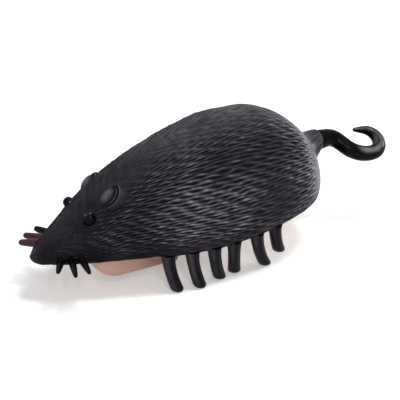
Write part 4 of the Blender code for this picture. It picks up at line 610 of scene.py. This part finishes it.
def head_form(points, s, t):
    """How much of the locks is left round the eyes and ears, and how far the skin is raised or sunk."""
    calm = np.ones(points.shape[:2])
    raised = np.zeros(points.shape[:2])
    for side in (1, -1):
        far = np.linalg.norm(points - np.array(eye_centre(side)), axis=2)
        calm *= 0.15 + 0.85 * smooth_step(*EYE_CALM, far)
        raised -= 0.8 * mm * fall(*EYE_DENT, far)
        raised += 0.22 * mm * hill(far, 2.5 * mm, 0.6 * mm)
        far = np.linalg.norm(points - np.array(ear_root(side)), axis=2)
        calm *= 0.2 + 0.8 * smooth_step(*EAR_CALM, far)
        raised += 0.45 * mm * fall(*EAR_MOUND, far)
    return calm, raised - 0.3 * mm * hill(t, -0.42, 0.085) * fall(0.075, 0.11, s)


def cap(row, bulge, centre):
    """Rows that round off the skin from an end row, as far as the bulge, towards a centre."""
    rows = []
    for k in range(1, CAP_ROWS + 1):
        turn = math.pi / 2 * k / CAP_ROWS
        ring = centre + (row - centre) * max(math.cos(turn), 0.001)
        ring[:, 1] = row[:, 1] + bulge * math.sin(turn) ** 2
        rows.append(ring)
    return rows


LIP_SHARES, LIP_REACH, LIP_DIP, LIP_HEIGHT = (0.3, 0.65, 1.0), 1.6 * mm, 0.12 * mm, 2.6 * mm
LIP_COLUMNS = len(LIP_SHARES) + 1
SOLID_NOSE = 5.4 * mm


def lip(edge, sign, stations):
    """Columns that turn a rim in and then up, and close right across under the solid nose."""
    solid = stations < SOLID_NOSE
    reach = np.where(solid, np.abs(edge[:, 0]), np.minimum(LIP_REACH, np.abs(edge[:, 0])))
    columns = []
    for share in LIP_SHARES:
        column = edge.copy()
        column[:, 0] = edge[:, 0] - sign * reach * share
        column[:, 2] = edge[:, 2] - LIP_DIP * math.sin(math.pi / 2 * share)
        columns.append(column)
    deep = columns[-1].copy()
    deep[:, 2] += np.where(solid, 0.0, LIP_HEIGHT)
    return np.stack(columns + [deep], axis=1)


def grid_object(name, points):
    """A skin of quads over rows and columns of points."""
    rows, cols = points.shape[:2]
    index = np.arange(rows * cols).reshape(rows, cols)
    quads = np.stack([index[:-1, :-1], index[:-1, 1:], index[1:, 1:], index[1:, :-1]], axis=2).reshape(-1, 4)
    mesh = bpy.data.meshes.new(name)
    mesh.vertices.add(rows * cols)
    mesh.vertices.foreach_set("co", points.reshape(-1).astype(np.float32))
    mesh.loops.add(len(quads) * 4)
    mesh.loops.foreach_set("vertex_index", quads.reshape(-1).astype(np.int32))
    mesh.polygons.add(len(quads))
    mesh.polygons.foreach_set("loop_start", np.arange(0, len(quads) * 4, 4, dtype=np.int32))
    mesh.update(calc_edges=True)
    mesh.validate()
    return new_object(name, mesh)


def fur_shell():
    stations = station_rows()
    points, t = section_points(stations)
    s, t = (stations / BODY_LENGTH)[:, None], t[None, :]
    relief = lock_relief(points)
    calm, raised = head_form(points, s, t)
    strength = fur_strength(s, t) * calm
    height = (relief - REST_RELIEF) * LOCK_HEIGHT * strength + raised
    skin = points + grid_normals(points) * height[:, :, None]
    skin[:, :, 2] -= NOSE_DROP * fall(0.0, 0.04, s)
    nose_rows = cap(skin[0], -NOSE_BULGE, skin[0].mean(axis=0))[::-1]
    rump_rows = cap(skin[-1], RUMP_BULGE, (skin[-1, 0] + skin[-1, -1]) / 2)
    skin = np.concatenate([nose_rows, skin, rump_rows])

    # The level in the material: blotches where the locks are weak, and the locks themselves, grooves as painted
    # shade and crests as wear and painted highlight
    shown = np.clip(strength * 1.4, 0.0, 1.0)
    blotches = wave_sum(waves(random.Random(BLOTCH_SEED), 16, 0.5, 1.7), points[:, :, 1] / mm,
                        (points[:, :, 0] + points[:, :, 2]) / mm)
    tone = rest_tone(s, t) + 0.22 * blotches * (1.0 - shown) + (relief - REST_RELIEF) * shown
    inwards = np.cos(math.pi / 2 * np.arange(1, CAP_ROWS + 1) / CAP_ROWS)[:, None]
    tone = np.concatenate([np.full((CAP_ROWS, skin.shape[1]), 0.45), tone,
                           tone[-1, 0] + (tone[-1:] - tone[-1, 0]) * inwards])

    stations = np.concatenate([np.zeros(CAP_ROWS), stations, np.full(CAP_ROWS, BODY_LENGTH)])
    s = (stations / BODY_LENGTH)[:, None]
    whole = np.concatenate([lip(skin[:, 0], 1.0, stations)[:, ::-1], skin, lip(skin[:, -1], -1.0, stations)],
                           axis=1)
    made = grid_object("fur_shell", whole)
    nose = fall(0.012, 0.035, s + 0.004 * (t + 1.0))
    polish = np.maximum(nose, fall(-0.75, -0.35, t) * fall(0.13, 0.17, s))
    for name, values in (("relief", tone), ("polish", polish)):
        stored(made, name, np.pad(values, ((0, 0), (LIP_COLUMNS, LIP_COLUMNS)), mode="edge"))
    girth = running(np.linalg.norm(np.diff(points[len(points) * 2 // 3], axis=0), axis=1))
    flow = np.zeros(whole.shape)
    flow[:, :, 0] = stations[:, None]
    flow[:, :, 1] = np.pad(girth, (LIP_COLUMNS, LIP_COLUMNS), mode="edge")[None, :]
    stored(made, "flow", flow, "FLOAT_VECTOR", "vector")
    return smooth(outward(made))


dressed(fur_shell(), "body", "shell_black", "upper_shell")


def furred(obj, relief):
    """The object, smooth and with what the fur material reads, for a piece with no locks of its own."""
    count = len(obj.data.vertices)
    stored(obj, "relief", np.full(count, relief))
    stored(obj, "polish", np.zeros(count))
    return smooth(stored(obj, "flow", vertex_vectors(obj, "co"), "FLOAT_VECTOR", "vector"))


def with_painted_sheen(obj, ways, power, start=-1.0):
    """A painted highlight behind a start, on the sides that face some ways, as an attribute that a rubber
    material reads.
    """
    ways = np.array([Vector(way).normalized() for way in ways])
    facing = np.clip((vertex_vectors(obj, "normal") @ ways.T).max(axis=1), 0.0, 1.0) ** power
    facing *= smooth_step(start, start + 4.0 * mm, vertex_vectors(obj, "co")[:, 1])
    return stored(obj, "wear_and_sheen", np.clip(facing * 1.15 - 0.08, 0.0, 1.0))


# Ears

EAR_HALF_WIDTH, EAR_HALF_HEIGHT = 3.5 * mm, 4.2 * mm
EAR_YAWS_DEG, EAR_TILT_DEG = {1: 26.0, -1: 12.0}, 44.0
EAR_RINGS, EAR_BACK_RINGS, EAR_TURNS = 56, 14, 96
EAR_SPREAD, EAR_BACK_SPREAD = 0.98, 1.34  # the skin's leaf over the CAD leaf, in front and at the back
EAR_MOVES = {1: (0.0, 0.35 * mm, 0.0), -1: (0.0, 0.8 * mm, 0.1 * mm)}  # down along the leaf, and back
EAR_EDGE_DROP, EAR_THICK, EAR_MOST_TONE = 0.25, 2.4, 0.85


def ear_edge(side, turn):
    """A place on the leaf's edge, wider at the back."""
    behind = max(side * math.cos(turn), 0.0)
    spread = EAR_SPREAD + (EAR_BACK_SPREAD - EAR_SPREAD) * behind * behind
    return spread * EAR_HALF_WIDTH * math.cos(turn), EAR_SPREAD * EAR_HALF_HEIGHT * math.sin(turn)


FOLD_SIDES = {1: (0.9, 0.35), -1: (-0.72, 0.69)}  # where each ear's folds lie: outwards and upwards
FOLD_DEPTHS = {1: 1.0, -1: 0.15}
EAR_PAD_CENTRES = {1: (-1.15, -0.35), -1: (0.8, -0.6)}
EAR_PAD_SIZES = {1: (1.85, 3.2), -1: (2.6, 2.9)}
EAR_PAD_HEIGHTS = {1: 1.75, -1: 1.35}


def ear_face(side, x, y):
    """Height in mm and tone of the ear's face at a place in mm: a pad, a crease, a fold, a slit and a rim. The
    tone is painted light and shade: lighter on the pad, the fold and the rim, darker in the crease, the slit
    and along the pad's edge away from the folds.
    """
    outwards, upwards = FOLD_SIDES[side]
    from_x, from_y = x - EAR_PAD_CENTRES[side][0], y - EAR_PAD_CENTRES[side][1]
    long = 0.31 * from_x + 0.95 * from_y
    short = 0.95 * from_x - 0.31 * from_y
    inside = math.hypot(short / EAR_PAD_SIZES[side][0], long / EAR_PAD_SIZES[side][1])
    reach = max(math.hypot(short, long), 0.001)
    towards = (outwards * short + upwards * long) / reach
    round_back = max(0.0, min(1.0, 0.42 + 0.95 * towards))
    edge = 0.1 + 0.35 * round_back
    if inside < 1.0:
        # Painted light: the pad lighter towards its middle.
        return (edge + (EAR_PAD_HEIGHTS[side] - edge) * math.sqrt(1.0 - inside * inside) ** 0.8,
                0.4 + 0.5 * math.sqrt(1.0 - inside))
    spread = 0.4 + 0.6 * max(towards, 0.0)
    beyond = reach * (1.0 - 1.0 / inside) / spread
    crease = max(round_back, 0.6) * hill(beyond, 0.25, 0.2)
    fold = round_back * hill(beyond, 0.8, 0.26)
    slit = round_back * hill(beyond, 1.45, 0.26)
    rim_swell = round_back * hill(beyond, 2.3, 0.5)
    height = edge - 0.6 * crease + FOLD_DEPTHS[side] * (0.55 * fold - 0.7 * slit + 0.9 * rim_swell)
    height -= 0.9 * (1.0 - round_back) * min(beyond / 1.2, 1.0)
    shade = (1.0 - round_back) * hill(beyond, 0.0, 0.7)
    slit *= FOLD_DEPTHS[side]
    # Painted shade in the crease, the slit and by the pad's edge; painted light on the fold and the rim.
    return height, 0.46 - 0.6 * crease - 0.46 * shade + 0.32 * fold - 0.5 * slit + 0.26 * rim_swell


def ear(side, name):
    points, tones = [], []
    turns = [math.tau * at / EAR_TURNS for at in range(EAR_TURNS)]
    for ring in range(EAR_RINGS + 1):
        share = ring / EAR_RINGS
        for turn in turns:
            x, y = (share * value for value in ear_edge(side, turn))
            height, tone = ear_face(side, side * x / mm, y / mm)
            points.append(Vector((x, y, height * mm - EAR_EDGE_DROP * mm * share ** 8)))
            tones.append(max(min(tone, EAR_MOST_TONE), 0.0))
    for ring in range(1, EAR_BACK_RINGS + 1):
        turn_down = math.pi / 2 * ring / EAR_BACK_RINGS
        share = math.cos(turn_down)
        for turn in turns:
            x, y = ear_edge(side, turn)
            lift = (ear_face(side, side * x / mm, y / mm)[0] - EAR_EDGE_DROP) * mm
            points.append(Vector((share * x, share * y, lift - EAR_THICK * mm * math.sin(turn_down))))
            tones.append(0.5)
    faces = [face for row in range(EAR_RINGS + EAR_BACK_RINGS) for face in ring_faces(row, EAR_TURNS)]
    tilt = Euler((math.radians(90.0 - EAR_TILT_DEG), 0.0, side * math.radians(EAR_YAWS_DEG[side]))).to_matrix()
    placed = [ear_root(side) + tilt @ (p - Vector(EAR_MOVES[side])) for p in points]
    return furred(outward(mesh_object(name, placed, faces)), tones)


for side, word in SIDES:
    dressed(ear(side, word + "_ear"), "body", "shell_black")


# Eyes: a bead with a faint flat front, in a soft lid ring

BEAD_RADIUS, BEAD_FLAT = EYE_RADIUS * 1.12, 0.04


def bead(name, centre, facing):
    mesh = bpy.data.meshes.new(name)
    shape = bmesh.new()
    bmesh.ops.create_uvsphere(shape, u_segments=56, v_segments=36, radius=BEAD_RADIUS)
    for vertex in shape.verts:
        ahead = vertex.co.normalized().z
        vertex.co *= 1.0 - BEAD_FLAT * max(ahead, 0.0) ** 4
    turn = facing.to_track_quat("Z", "Y").to_matrix().to_4x4()
    bmesh.ops.transform(shape, matrix=Matrix.Translation(centre) @ turn, verts=shape.verts)
    shape.to_mesh(mesh)
    shape.free()
    return smooth(new_object(name, mesh))


LID_RADIUS, LID_THICK, LID_SUNK, LID_TURNS, LID_ROLLS = 1.95 * mm, 0.26 * mm, 0.45 * mm, 96, 12


def eyelid(name, centre, facing):
    """A thin uneven ring of skin that holds the bead, dark as painted shade of the socket, with painted glints
    in two places on top.
    """
    turn = facing.to_track_quat("Z", "Y").to_matrix()
    rings, tones = [], []
    for at in range(LID_TURNS + 1):
        angle = math.tau * at / LID_TURNS
        radius = LID_RADIUS * (1.0 + 0.04 * math.sin(2.0 * angle + 0.6))
        spoke = Vector((math.cos(angle), math.sin(angle), 0.0))
        way = turn @ spoke
        # Painted glints: two light places on top of the lid, where it is also thicker.
        painted_glint = math.exp(-((abs(way.y - 0.1) - 0.32) / 0.19) ** 2) if way.z > 0.0 else 0.0
        thick = LID_THICK * (1.0 + 0.2 * math.sin(3.0 * angle) + 0.9 * painted_glint)
        rings.append([centre + turn @ (spoke * (radius + thick * c)
                                       + Vector((0.0, 0.0, thick * 1.2 * s - LID_SUNK)))
                      for c, s in circle(LID_ROLLS)])
        tones += [painted_glint] * LID_ROLLS
    return furred(loft(name, rings, closed=False), tones)


for side, word in SIDES:
    centre = eye_centre(side)
    facing = surface_normal(side * EYE_OUT, EYE_STATION)
    dressed(bead(word + "_bead", centre, facing), "body", "bead_black", word + "_eye")
    dressed(eyelid(word + "_eyelid", centre, facing), "body", "shell_black")


# Tail boss: the furred root that the tail plugs into

TAIL_Z, BOSS_END = 30.38 * mm, 102.2 * mm
BOSS_TURNS, BOSS_STEPS, BOSS_WAVES = 120, 6, 6

# Station, top, bottom and half width of the boss, in mm: a fillet out of the rump, then the rounded end
BOSS_PROFILE = ((94.0, 34.7, 17.2, 10.4), (95.0, 34.15, 19.0, 9.0), (96.0, 33.75, 20.8, 7.7),
                (97.0, 33.6, 22.2, 6.6), (98.0, 33.65, 22.9, 5.8), (99.0, 33.8, 24.0, 5.1),
                (100.0, 33.95, 25.2, 4.5),
                (101.0, 34.0, 26.2, 4.0), (101.7, 33.95, 26.8, 3.65), (102.05, 33.8, 27.0, 3.45),
                (102.2, 33.5, 27.2, 3.2), (102.2, 32.9, 27.7, 2.6), (101.6, 32.6, 28.0, 2.3))


def boss_skin():
    rng = random.Random(BOSS_SEED)
    phase = [rng.random() * math.tau for _ in range(BOSS_WAVES)]
    fine = [[one + (other - one) * k / BOSS_STEPS for one, other in zip(first, second)]
            for first, second in zip(BOSS_PROFILE, BOSS_PROFILE[1:]) for k in range(BOSS_STEPS)]
    rings, tones = [], []
    for along, high, low, wide in fine + [BOSS_PROFILE[-1]]:
        ring = []
        fade = max(0.0, min(1.0, (102.0 - along) / 1.5))
        for at in range(BOSS_TURNS):
            angle = math.tau * at / BOSS_TURNS
            wave = sum(math.sin(angle * (7 + 4 * i) + phase[i] + along * (0.8 - 0.3 * i))
                       for i in range(BOSS_WAVES)) / BOSS_WAVES
            swell = 0.13 * wave * fade
            ring.append(((wide + swell) * math.cos(angle) * mm, NOSE_Y + along * mm,
                         ((high + low) / 2 + ((high - low) / 2 + swell) * math.sin(angle)) * mm))
            # Tone: lightest where the boss leaves the rump, carrying the rump's painted rim light, and lighter
            # on each swell as wear and painted highlight.
            tones.append(0.97 - 0.32 * smooth_step(95.0, 99.0, along) + 0.14 * wave * fade)
        rings.append(ring)
    return furred(loft("tail_boss", rings, closed=False), tones)


dressed(boss_skin(), "body", "shell_black")


# Tail

TAIL_ROOT_RADIUS, TAIL_RADIUS, TAIL_TIP_RADIUS = 3.25 * mm, 2.6 * mm, 0.7 * mm
PLUG_RADIUS, PLUG_DEPTH = 1.9 * mm, 1.5 * mm
TAIL_RUNS = ((2.6, 0.0), (4.5 * math.radians(60.0), 1.0 / 4.5), (2.9, 0.0),
             (8.9 * math.radians(65.5), -1.0 / 8.9), (4.5 * math.radians(159.0), -1.0 / 4.5),
             (3.0, 0.0))  # lengths in mm and bends for each mm
TAIL_PLANE_DEG = 34.0
TAIL_TURNS, TAIL_STEP, TIP_RINGS = 48, 0.22, 8
ROOT_SHARE, ROOT_ROUND = 0.25, 0.5  # the thicker root's share of the length, and its rounding in mm
SEAM_HEIGHT, SEAM_WIDTH = 0.05 * mm, 0.09


def tail_skin():
    dip = math.radians(TAIL_PLANE_DEG)
    sideways = Vector((math.cos(dip), 0.0, -math.sin(dip)))
    upright = Vector((math.sin(dip), 0.0, math.cos(dip)))
    straight = Vector((0.0, 1.0, 0.0))
    root = Vector((0.0, NOSE_Y + BOSS_END + GAP, TAIL_Z))
    out = back = heading = run = 0.0
    points = [(out, back, heading, run)]
    for length, bend in TAIL_RUNS:
        steps = max(round(length / TAIL_STEP), 1)
        for _ in range(steps):
            move = length / steps
            middle = heading + bend * move / 2
            out += move * math.sin(middle)
            back += move * math.cos(middle)
            heading += bend * move
            run += move
            points.append((out, back, heading, run))
    whole = points[-1][3]
    rings = [[root + Vector((PLUG_RADIUS * c, -PLUG_DEPTH, PLUG_RADIUS * s)) for c, s in circle(TAIL_TURNS)]]
    for out, back, heading, run in points:
        share = run / whole
        near_root = 1.0 - min(share / ROOT_SHARE, 1.0)
        thick = TAIL_RADIUS + (TAIL_ROOT_RADIUS - TAIL_RADIUS) * near_root ** 1.5
        radius = TAIL_TIP_RADIUS + (thick - TAIL_TIP_RADIUS) * (1.0 - share ** 4.4)
        if run < ROOT_ROUND:
            radius *= 0.9 + 0.1 * math.sqrt(run / ROOT_ROUND)
        centre = root + (sideways * out + straight * back) * mm
        across = sideways * math.cos(heading) - straight * math.sin(heading)
        rings.append([])
        for c, s in circle(TAIL_TURNS):
            seam = SEAM_HEIGHT * math.exp(-(s / SEAM_WIDTH) ** 2)
            rings[-1].append(centre + (across * c + upright * s) * (radius + seam))
    centre = middle_of(rings[-1])
    onward = sideways * math.sin(points[-1][2]) + straight * math.cos(points[-1][2])
    last = rings[-1]
    for k in range(1, TIP_RINGS + 1):
        turn = math.pi / 2 * k / TIP_RINGS
        tip = centre + onward * TAIL_TIP_RADIUS * math.sin(turn)
        rings.append([tip + (p - centre) * max(math.cos(turn), 0.01) for p in last])
    return smooth(loft("tail_rubber", rings))


# Ways that the tail's painted highlights face; they start 9.5 mm behind the boss.
TAIL_SHEEN_WAYS = ((0.64, -0.03, 0.77), (0.14, -0.64, 0.75))
dressed(with_painted_sheen(tail_skin(), TAIL_SHEEN_WAYS, 12.0, NOSE_Y + BOSS_END + 9.5 * mm), "tail", "tail_black", "tail")


# Legs

LEG_FIRST, LEG_PITCH = 37.3 * mm, 7.48 * mm
LEG_RADIUS, LEG_TIP_RADIUS, LEG_FLARE, LEG_INSET = 1.75 * mm, 2.1 * mm, 0.6 * mm, 1.9 * mm
LEG_FLAT, LEG_ROUND = 0.8 * mm, 1.3 * mm  # the foot's flat end and its rounding
LEG_BEND = 1.7  # power of the way down that legs lean and sweep with
LEG_SHIFTS = (-0.02, -0.03, -0.06, -0.11, 0.03, 0.03)
LEG_SWEEPS = (0.26, 0.25, 0.315, 0.23, 0.41, 0.34)
LEG_LEANS = (0.0, -0.03, -0.25, -0.35, -0.24, -0.26)
LEG_LIFTS = (0.0, 0.0, 0.0, 0.0, 0.0, 0.2)
LEG_STEPS, FOOT_STEPS, LEG_TURNS = 26, 10, 40
# The way that the left legs' painted highlight faces: forwards, outwards and a little up.
LEG_SHEEN_WAY = (0.64, -0.74, 0.18)
STRIP_FOOT, STRIP_END, STRIP_CHAMFER, STRIP_STEPS = 0.6 * mm, 2.7 * mm, 0.35 * mm, 60
RIM_WALL, STRIP_INSIDE, STRIP_VOXEL = 1.8 * mm, 3.2 * mm, 0.17 * mm


def leg_skin(index):
    station = LEG_FIRST + (index + LEG_SHIFTS[index]) * LEG_PITCH
    root = rim(station) - GAP - STRIP_FOOT / 3
    foot = LEG_LIFTS[index] * root
    height = root - foot
    out = half_width(station) * rim_share(station) - LEG_INSET
    round_share = LEG_ROUND / height
    places = [(1.0 - round_share) * k / LEG_STEPS for k in range(LEG_STEPS + 1)]
    places += [1.0 - round_share * (1.0 - math.sin(math.pi / 2 * k / FOOT_STEPS))
               for k in range(1, FOOT_STEPS + 1)]
    rings = []
    for down in places:
        x = out + LEG_LEANS[index] * height * down ** LEG_BEND
        y = NOSE_Y + station + LEG_SWEEPS[index] * height * down ** LEG_BEND
        radius = LEG_RADIUS + (LEG_TIP_RADIUS - LEG_RADIUS) * down + LEG_FLARE * (1.0 - down) ** 4
        last = (down - 1.0 + round_share) / round_share
        if last > 0.0:
            radius = LEG_FLAT + (radius - LEG_FLAT) * math.sqrt(max(1.0 - min(last, 1.0) ** 2, 0.0))
        z = root - height * down
        rings.append([(x + radius * c, y + radius * s, z) for c, s in circle(LEG_TURNS)])
    return loft("leg", rings)


def strip_skin(side, name):
    low, high = LEG_FIRST - STRIP_END, LEG_FIRST + 5 * LEG_PITCH + STRIP_END
    rings = []
    for k in range(STRIP_STEPS):
        station = low + (high - low) * k / (STRIP_STEPS - 1)
        y = NOSE_Y + station
        outer = half_width(station) * rim_share(station) - STRIP_CHAMFER
        inner = (half_width(station) - RIM_WALL) * rim_share(station) - GAP - STRIP_INSIDE
        bar_top = rim(station) - GAP
        bar_bottom = bar_top - STRIP_FOOT
        rings.append([(inner, y, bar_bottom), (outer - STRIP_CHAMFER, y, bar_bottom),
                      (outer, y, bar_bottom + STRIP_CHAMFER), (outer, y, bar_top), (inner, y, bar_top)])
    parts = [loft("bar", rings)] + [leg_skin(index) for index in range(6)]
    return moulded(name, side, parts, STRIP_VOXEL, 10)


# Each strip of legs gets a painted highlight on the sides that face forwards and outwards.
for side, word in SIDES:
    way = (side * LEG_SHEEN_WAY[0], *LEG_SHEEN_WAY[1:])
    dressed(with_painted_sheen(strip_skin(side, word + "_legs"), (way,), 7.0), "body", "rubber_black", word + "_leg_strip")


# Whiskers

WHISKER_STATION, WHISKER_SPACING = 9.0 * mm, 2.8 * mm
PAD_LENGTH, PAD_DEPTH, PAD_HEIGHT, PAD_PROUD, PAD_FLOOR = 8.4 * mm, 2.7 * mm, 2.8 * mm, 0.25 * mm, 0.25 * mm
PAD_POWER, SPIKE_FLARE = 0.35, 0.25 * mm  # the pad is a rounded square
WHISKER_RADIUS, SPIKE_TIP_RADIUS, WHISKER_RISE, WHISKER_DOWN_DEG = 1.15 * mm, 0.56 * mm, 1.7 * mm, 2.5
WHISKER_LENGTH = 9.6 * mm
PAD_STEPS, SPIKE_STEPS, WHISKER_TURNS, WHISKER_VOXEL = 29, 30, 24, 0.11 * mm


def whisker_skin(side, name, shares, forward_deg, spikes=(0, 1, 2), stout=1.0):
    low, high = WHISKER_STATION - PAD_LENGTH / 2, WHISKER_STATION + PAD_LENGTH / 2
    rings = []
    for k in range(PAD_STEPS + 1):
        station = low + (high - low) * k / PAD_STEPS
        inner = half_width(station) - PAD_DEPTH
        outer = half_width(station) + PAD_PROUD
        floor = rim(station) + PAD_FLOOR
        rings.append([((inner + outer) / 2 + (outer - inner) / 2 * math.copysign(abs(c) ** PAD_POWER, c),
                       NOSE_Y + station,
                       floor + PAD_HEIGHT / 2 + PAD_HEIGHT / 2 * math.copysign(abs(s) ** PAD_POWER, s))
                      for c, s in circle(WHISKER_TURNS)])
    parts = [loft("pad", rings)] if 0 in spikes else []
    tip_radius = SPIKE_TIP_RADIUS * stout
    for index in spikes:
        length = shares[index] * WHISKER_LENGTH
        station = WHISKER_STATION + (index - 1) * WHISKER_SPACING
        start = Vector((half_width(station), NOSE_Y + station, rim(station) + WHISKER_RISE))
        matrix = Euler((0.0, math.pi / 2 + math.radians(WHISKER_DOWN_DEG),
                        -math.radians(forward_deg[index]))).to_matrix()
        rings = []
        for k in range(SPIKE_STEPS + 1):
            share = k / SPIKE_STEPS
            along = -PAD_DEPTH / 2 + (length + PAD_DEPTH / 2) * share
            out_share = max(along / length, 0.0)
            radius = WHISKER_RADIUS * (0.6 + 0.4 * stout)
            radius += (tip_radius - radius) * out_share ** 2.0
            radius += SPIKE_FLARE * math.exp(-(max(along, 0.0) / (1.0 * mm)) ** 2)
            left = length - along
            if left < tip_radius:
                radius *= math.sqrt(max(1.0 - (1.0 - left / tip_radius) ** 2, 0.02))
            rings.append([start + matrix @ Vector((radius * c, radius * s, along))
                          for c, s in circle(WHISKER_TURNS)])
        parts.append(loft("spike", rings))
    return moulded(name, side, parts, WHISKER_VOXEL, 8)


NEAR_WHISKERS = (0.73, 1.0, 0.86), (34.0, 19.0, 11.0)  # lengths as shares, and degrees forward
FAR_WHISKERS = (0.75, 0.88, 0.86), (50.0, 36.0, 20.0)
dressed(whisker_skin(1, "left_whisker_pad", *NEAR_WHISKERS), "body", "rubber_black", "left_whiskers",
        material=WHISKER_RUBBER)
# The far pad and its two front spikes take the maroon painted reflection; the rear spike stays plain black.
dressed(whisker_skin(-1, "right_whisker_pad", *FAR_WHISKERS, (0, 1), 1.5), "body", "rubber_black",
        "right_whiskers", material=FAR_WHISKER_PAINTED_REFLECTION)
dressed(whisker_skin(-1, "right_whisker_rear", *FAR_WHISKERS, (2,), 1.5), "body", "rubber_black",
        material=WHISKER_RUBBER)


# Belly and inner pieces: the CAD forms, some with eased edges

def eased(node_name, name, body, slot, width):
    """A copy of a CAD node with small bevels, which stands for it."""
    made = new_object(name, frame["nodes"][node_name].data.copy())
    shape = bmesh.new()
    shape.from_mesh(made.data)
    bmesh.ops.remove_doubles(shape, verts=shape.verts, dist=0.002 * mm)
    bmesh.ops.dissolve_limit(shape, angle_limit=math.radians(1.0), verts=shape.verts, edges=shape.edges)
    shape.to_mesh(made.data)
    shape.free()
    bevel = made.modifiers.new("ease", "BEVEL")
    bevel.width = width
    bevel.segments = 2
    bevel.limit_method = "ANGLE"
    bevel.angle_limit = math.radians(40.0)
    dressed(smooth(applied(made), 38.0), body, slot, node_name)


eased("belly_pan", "belly", "body", "flesh_plastic", 0.18 * mm)
eased("battery_door", "door_cover", "door", "flesh_plastic", 0.15 * mm)
eased("switch_slider", "switch_knob", "slider", "black_plastic", 0.1 * mm)
eased("door_screw", "door_screw_finish", "door_screw", "steel", 0.06 * mm)
for place in ("front", "left", "right", "rear"):
    eased(place + "_shell_screw", place + "_shell_screw_finish", "body", "steel", 0.06 * mm)

for entry in frame["record"]["subparts"]:
    obj = frame["nodes"][entry["node"]]
    if obj.hide_render:
        continue
    if not obj.material_slots:
        obj.data.materials.append(None)
    for holder in obj.material_slots:
        holder.material = MATERIALS[entry["material_slot"]]


# Stage, light and camera

FLOOR_GLOW, SKY_LIGHT = 0.34, 0.36
CAMERA_TURN_DEG, CAMERA_RISE_DEG, CAMERA_DISTANCE = 60.0, 26.0, 0.5191
CAMERA_AIM = Vector((0.0, NOSE_Y + 51.30 * mm, 19.07 * mm))


def seen_directly(tree):
    """One for rays of the camera, of gloss and of clear surfaces, and nought for the light on the object."""
    rays = tree.nodes.new("ShaderNodeLightPath")
    factor = rays.outputs["Is Camera Ray"]
    for other in ("Is Glossy Ray", "Is Transmission Ray"):
        most = tree.nodes.new("ShaderNodeMath")
        most.operation = "MAXIMUM"
        tree.links.new(factor, most.inputs[0])
        tree.links.new(rays.outputs[other], most.inputs[1])
        factor = most.outputs[0]
    return factor


def stage_floor():
    """A pale floor that glows a little, but only as it is seen and mirrored."""
    floor = mesh_object("floor", [(-3, -3, 0), (3, -3, 0), (3, 3, 0), (-3, 3, 0)], [(0, 1, 2, 3)])
    made, tree, shader = tree_of("floor", (0.9, 0.9, 0.9), 0.9, specular=0.1)
    shader.inputs["Emission Color"].default_value = (1.0, 1.0, 1.0, 1.0)
    glow = tree.nodes.new("ShaderNodeMath")
    glow.operation = "MULTIPLY"
    glow.inputs[1].default_value = FLOOR_GLOW
    tree.links.new(seen_directly(tree), glow.inputs[0])
    tree.links.new(glow.outputs[0], shader.inputs["Emission Strength"])
    floor.data.materials.append(made)


def area_light(name, place, aim, size, power):
    data = bpy.data.lights.new(name, "AREA")
    data.shape = "RECTANGLE"
    data.size, data.size_y = size
    data.energy = power
    light = new_object(name, data)
    light.location = place
    light.rotation_euler = (Vector(aim) - Vector(place)).to_track_quat("-Z", "Y").to_euler()


def camera():
    azimuth, elevation = math.radians(CAMERA_TURN_DEG), math.radians(CAMERA_RISE_DEG)
    back = Vector((math.sin(azimuth) * math.cos(elevation), -math.cos(azimuth) * math.cos(elevation),
                   math.sin(elevation)))
    data = bpy.data.cameras.new("camera")
    data.lens = 150.0
    data.shift_x, data.shift_y = 0.0475, 0.015
    data.clip_start, data.clip_end = 0.01, 20.0
    made = new_object("camera", data)
    made.location = CAMERA_AIM + back * CAMERA_DISTANCE
    made.rotation_euler = back.to_track_quat("Z", "Y").to_euler()
    bpy.context.scene.camera = made


def world():
    """White to the camera and to glossy and clear surfaces, and a soft even light on the object."""
    made = bpy.data.worlds.new("white")
    bpy.context.scene.world = made
    made.use_nodes = True
    tree = made.node_tree
    light, plain = tree.nodes["Background"], tree.nodes.new("ShaderNodeBackground")
    for background, strength in ((light, SKY_LIGHT), (plain, 1.0)):
        background.inputs["Color"].default_value = (1.0, 1.0, 1.0, 1.0)
        background.inputs["Strength"].default_value = strength
    mix = tree.nodes.new("ShaderNodeMixShader")
    tree.links.new(seen_directly(tree), mix.inputs["Fac"])
    tree.links.new(light.outputs["Background"], mix.inputs[1])
    tree.links.new(plain.outputs["Background"], mix.inputs[2])
    tree.links.new(mix.outputs["Shader"], tree.nodes["World Output"].inputs["Surface"])


stage_floor()
world()
camera()
area_light("key", (0.16, 0.10, 0.66), (0.0, 0.0, 0.02), (0.18, 0.18), 2.7)
area_light("side", (0.52, -0.22, 0.44), (0.0, 0.0, 0.02), (0.08, 0.14), 0.8)
area_light("back", (0.05, 0.62, 0.20), (0.0, 0.03, 0.03), (0.2, 0.12), 1.9)
bpy.context.scene.view_settings.view_transform = "Standard"

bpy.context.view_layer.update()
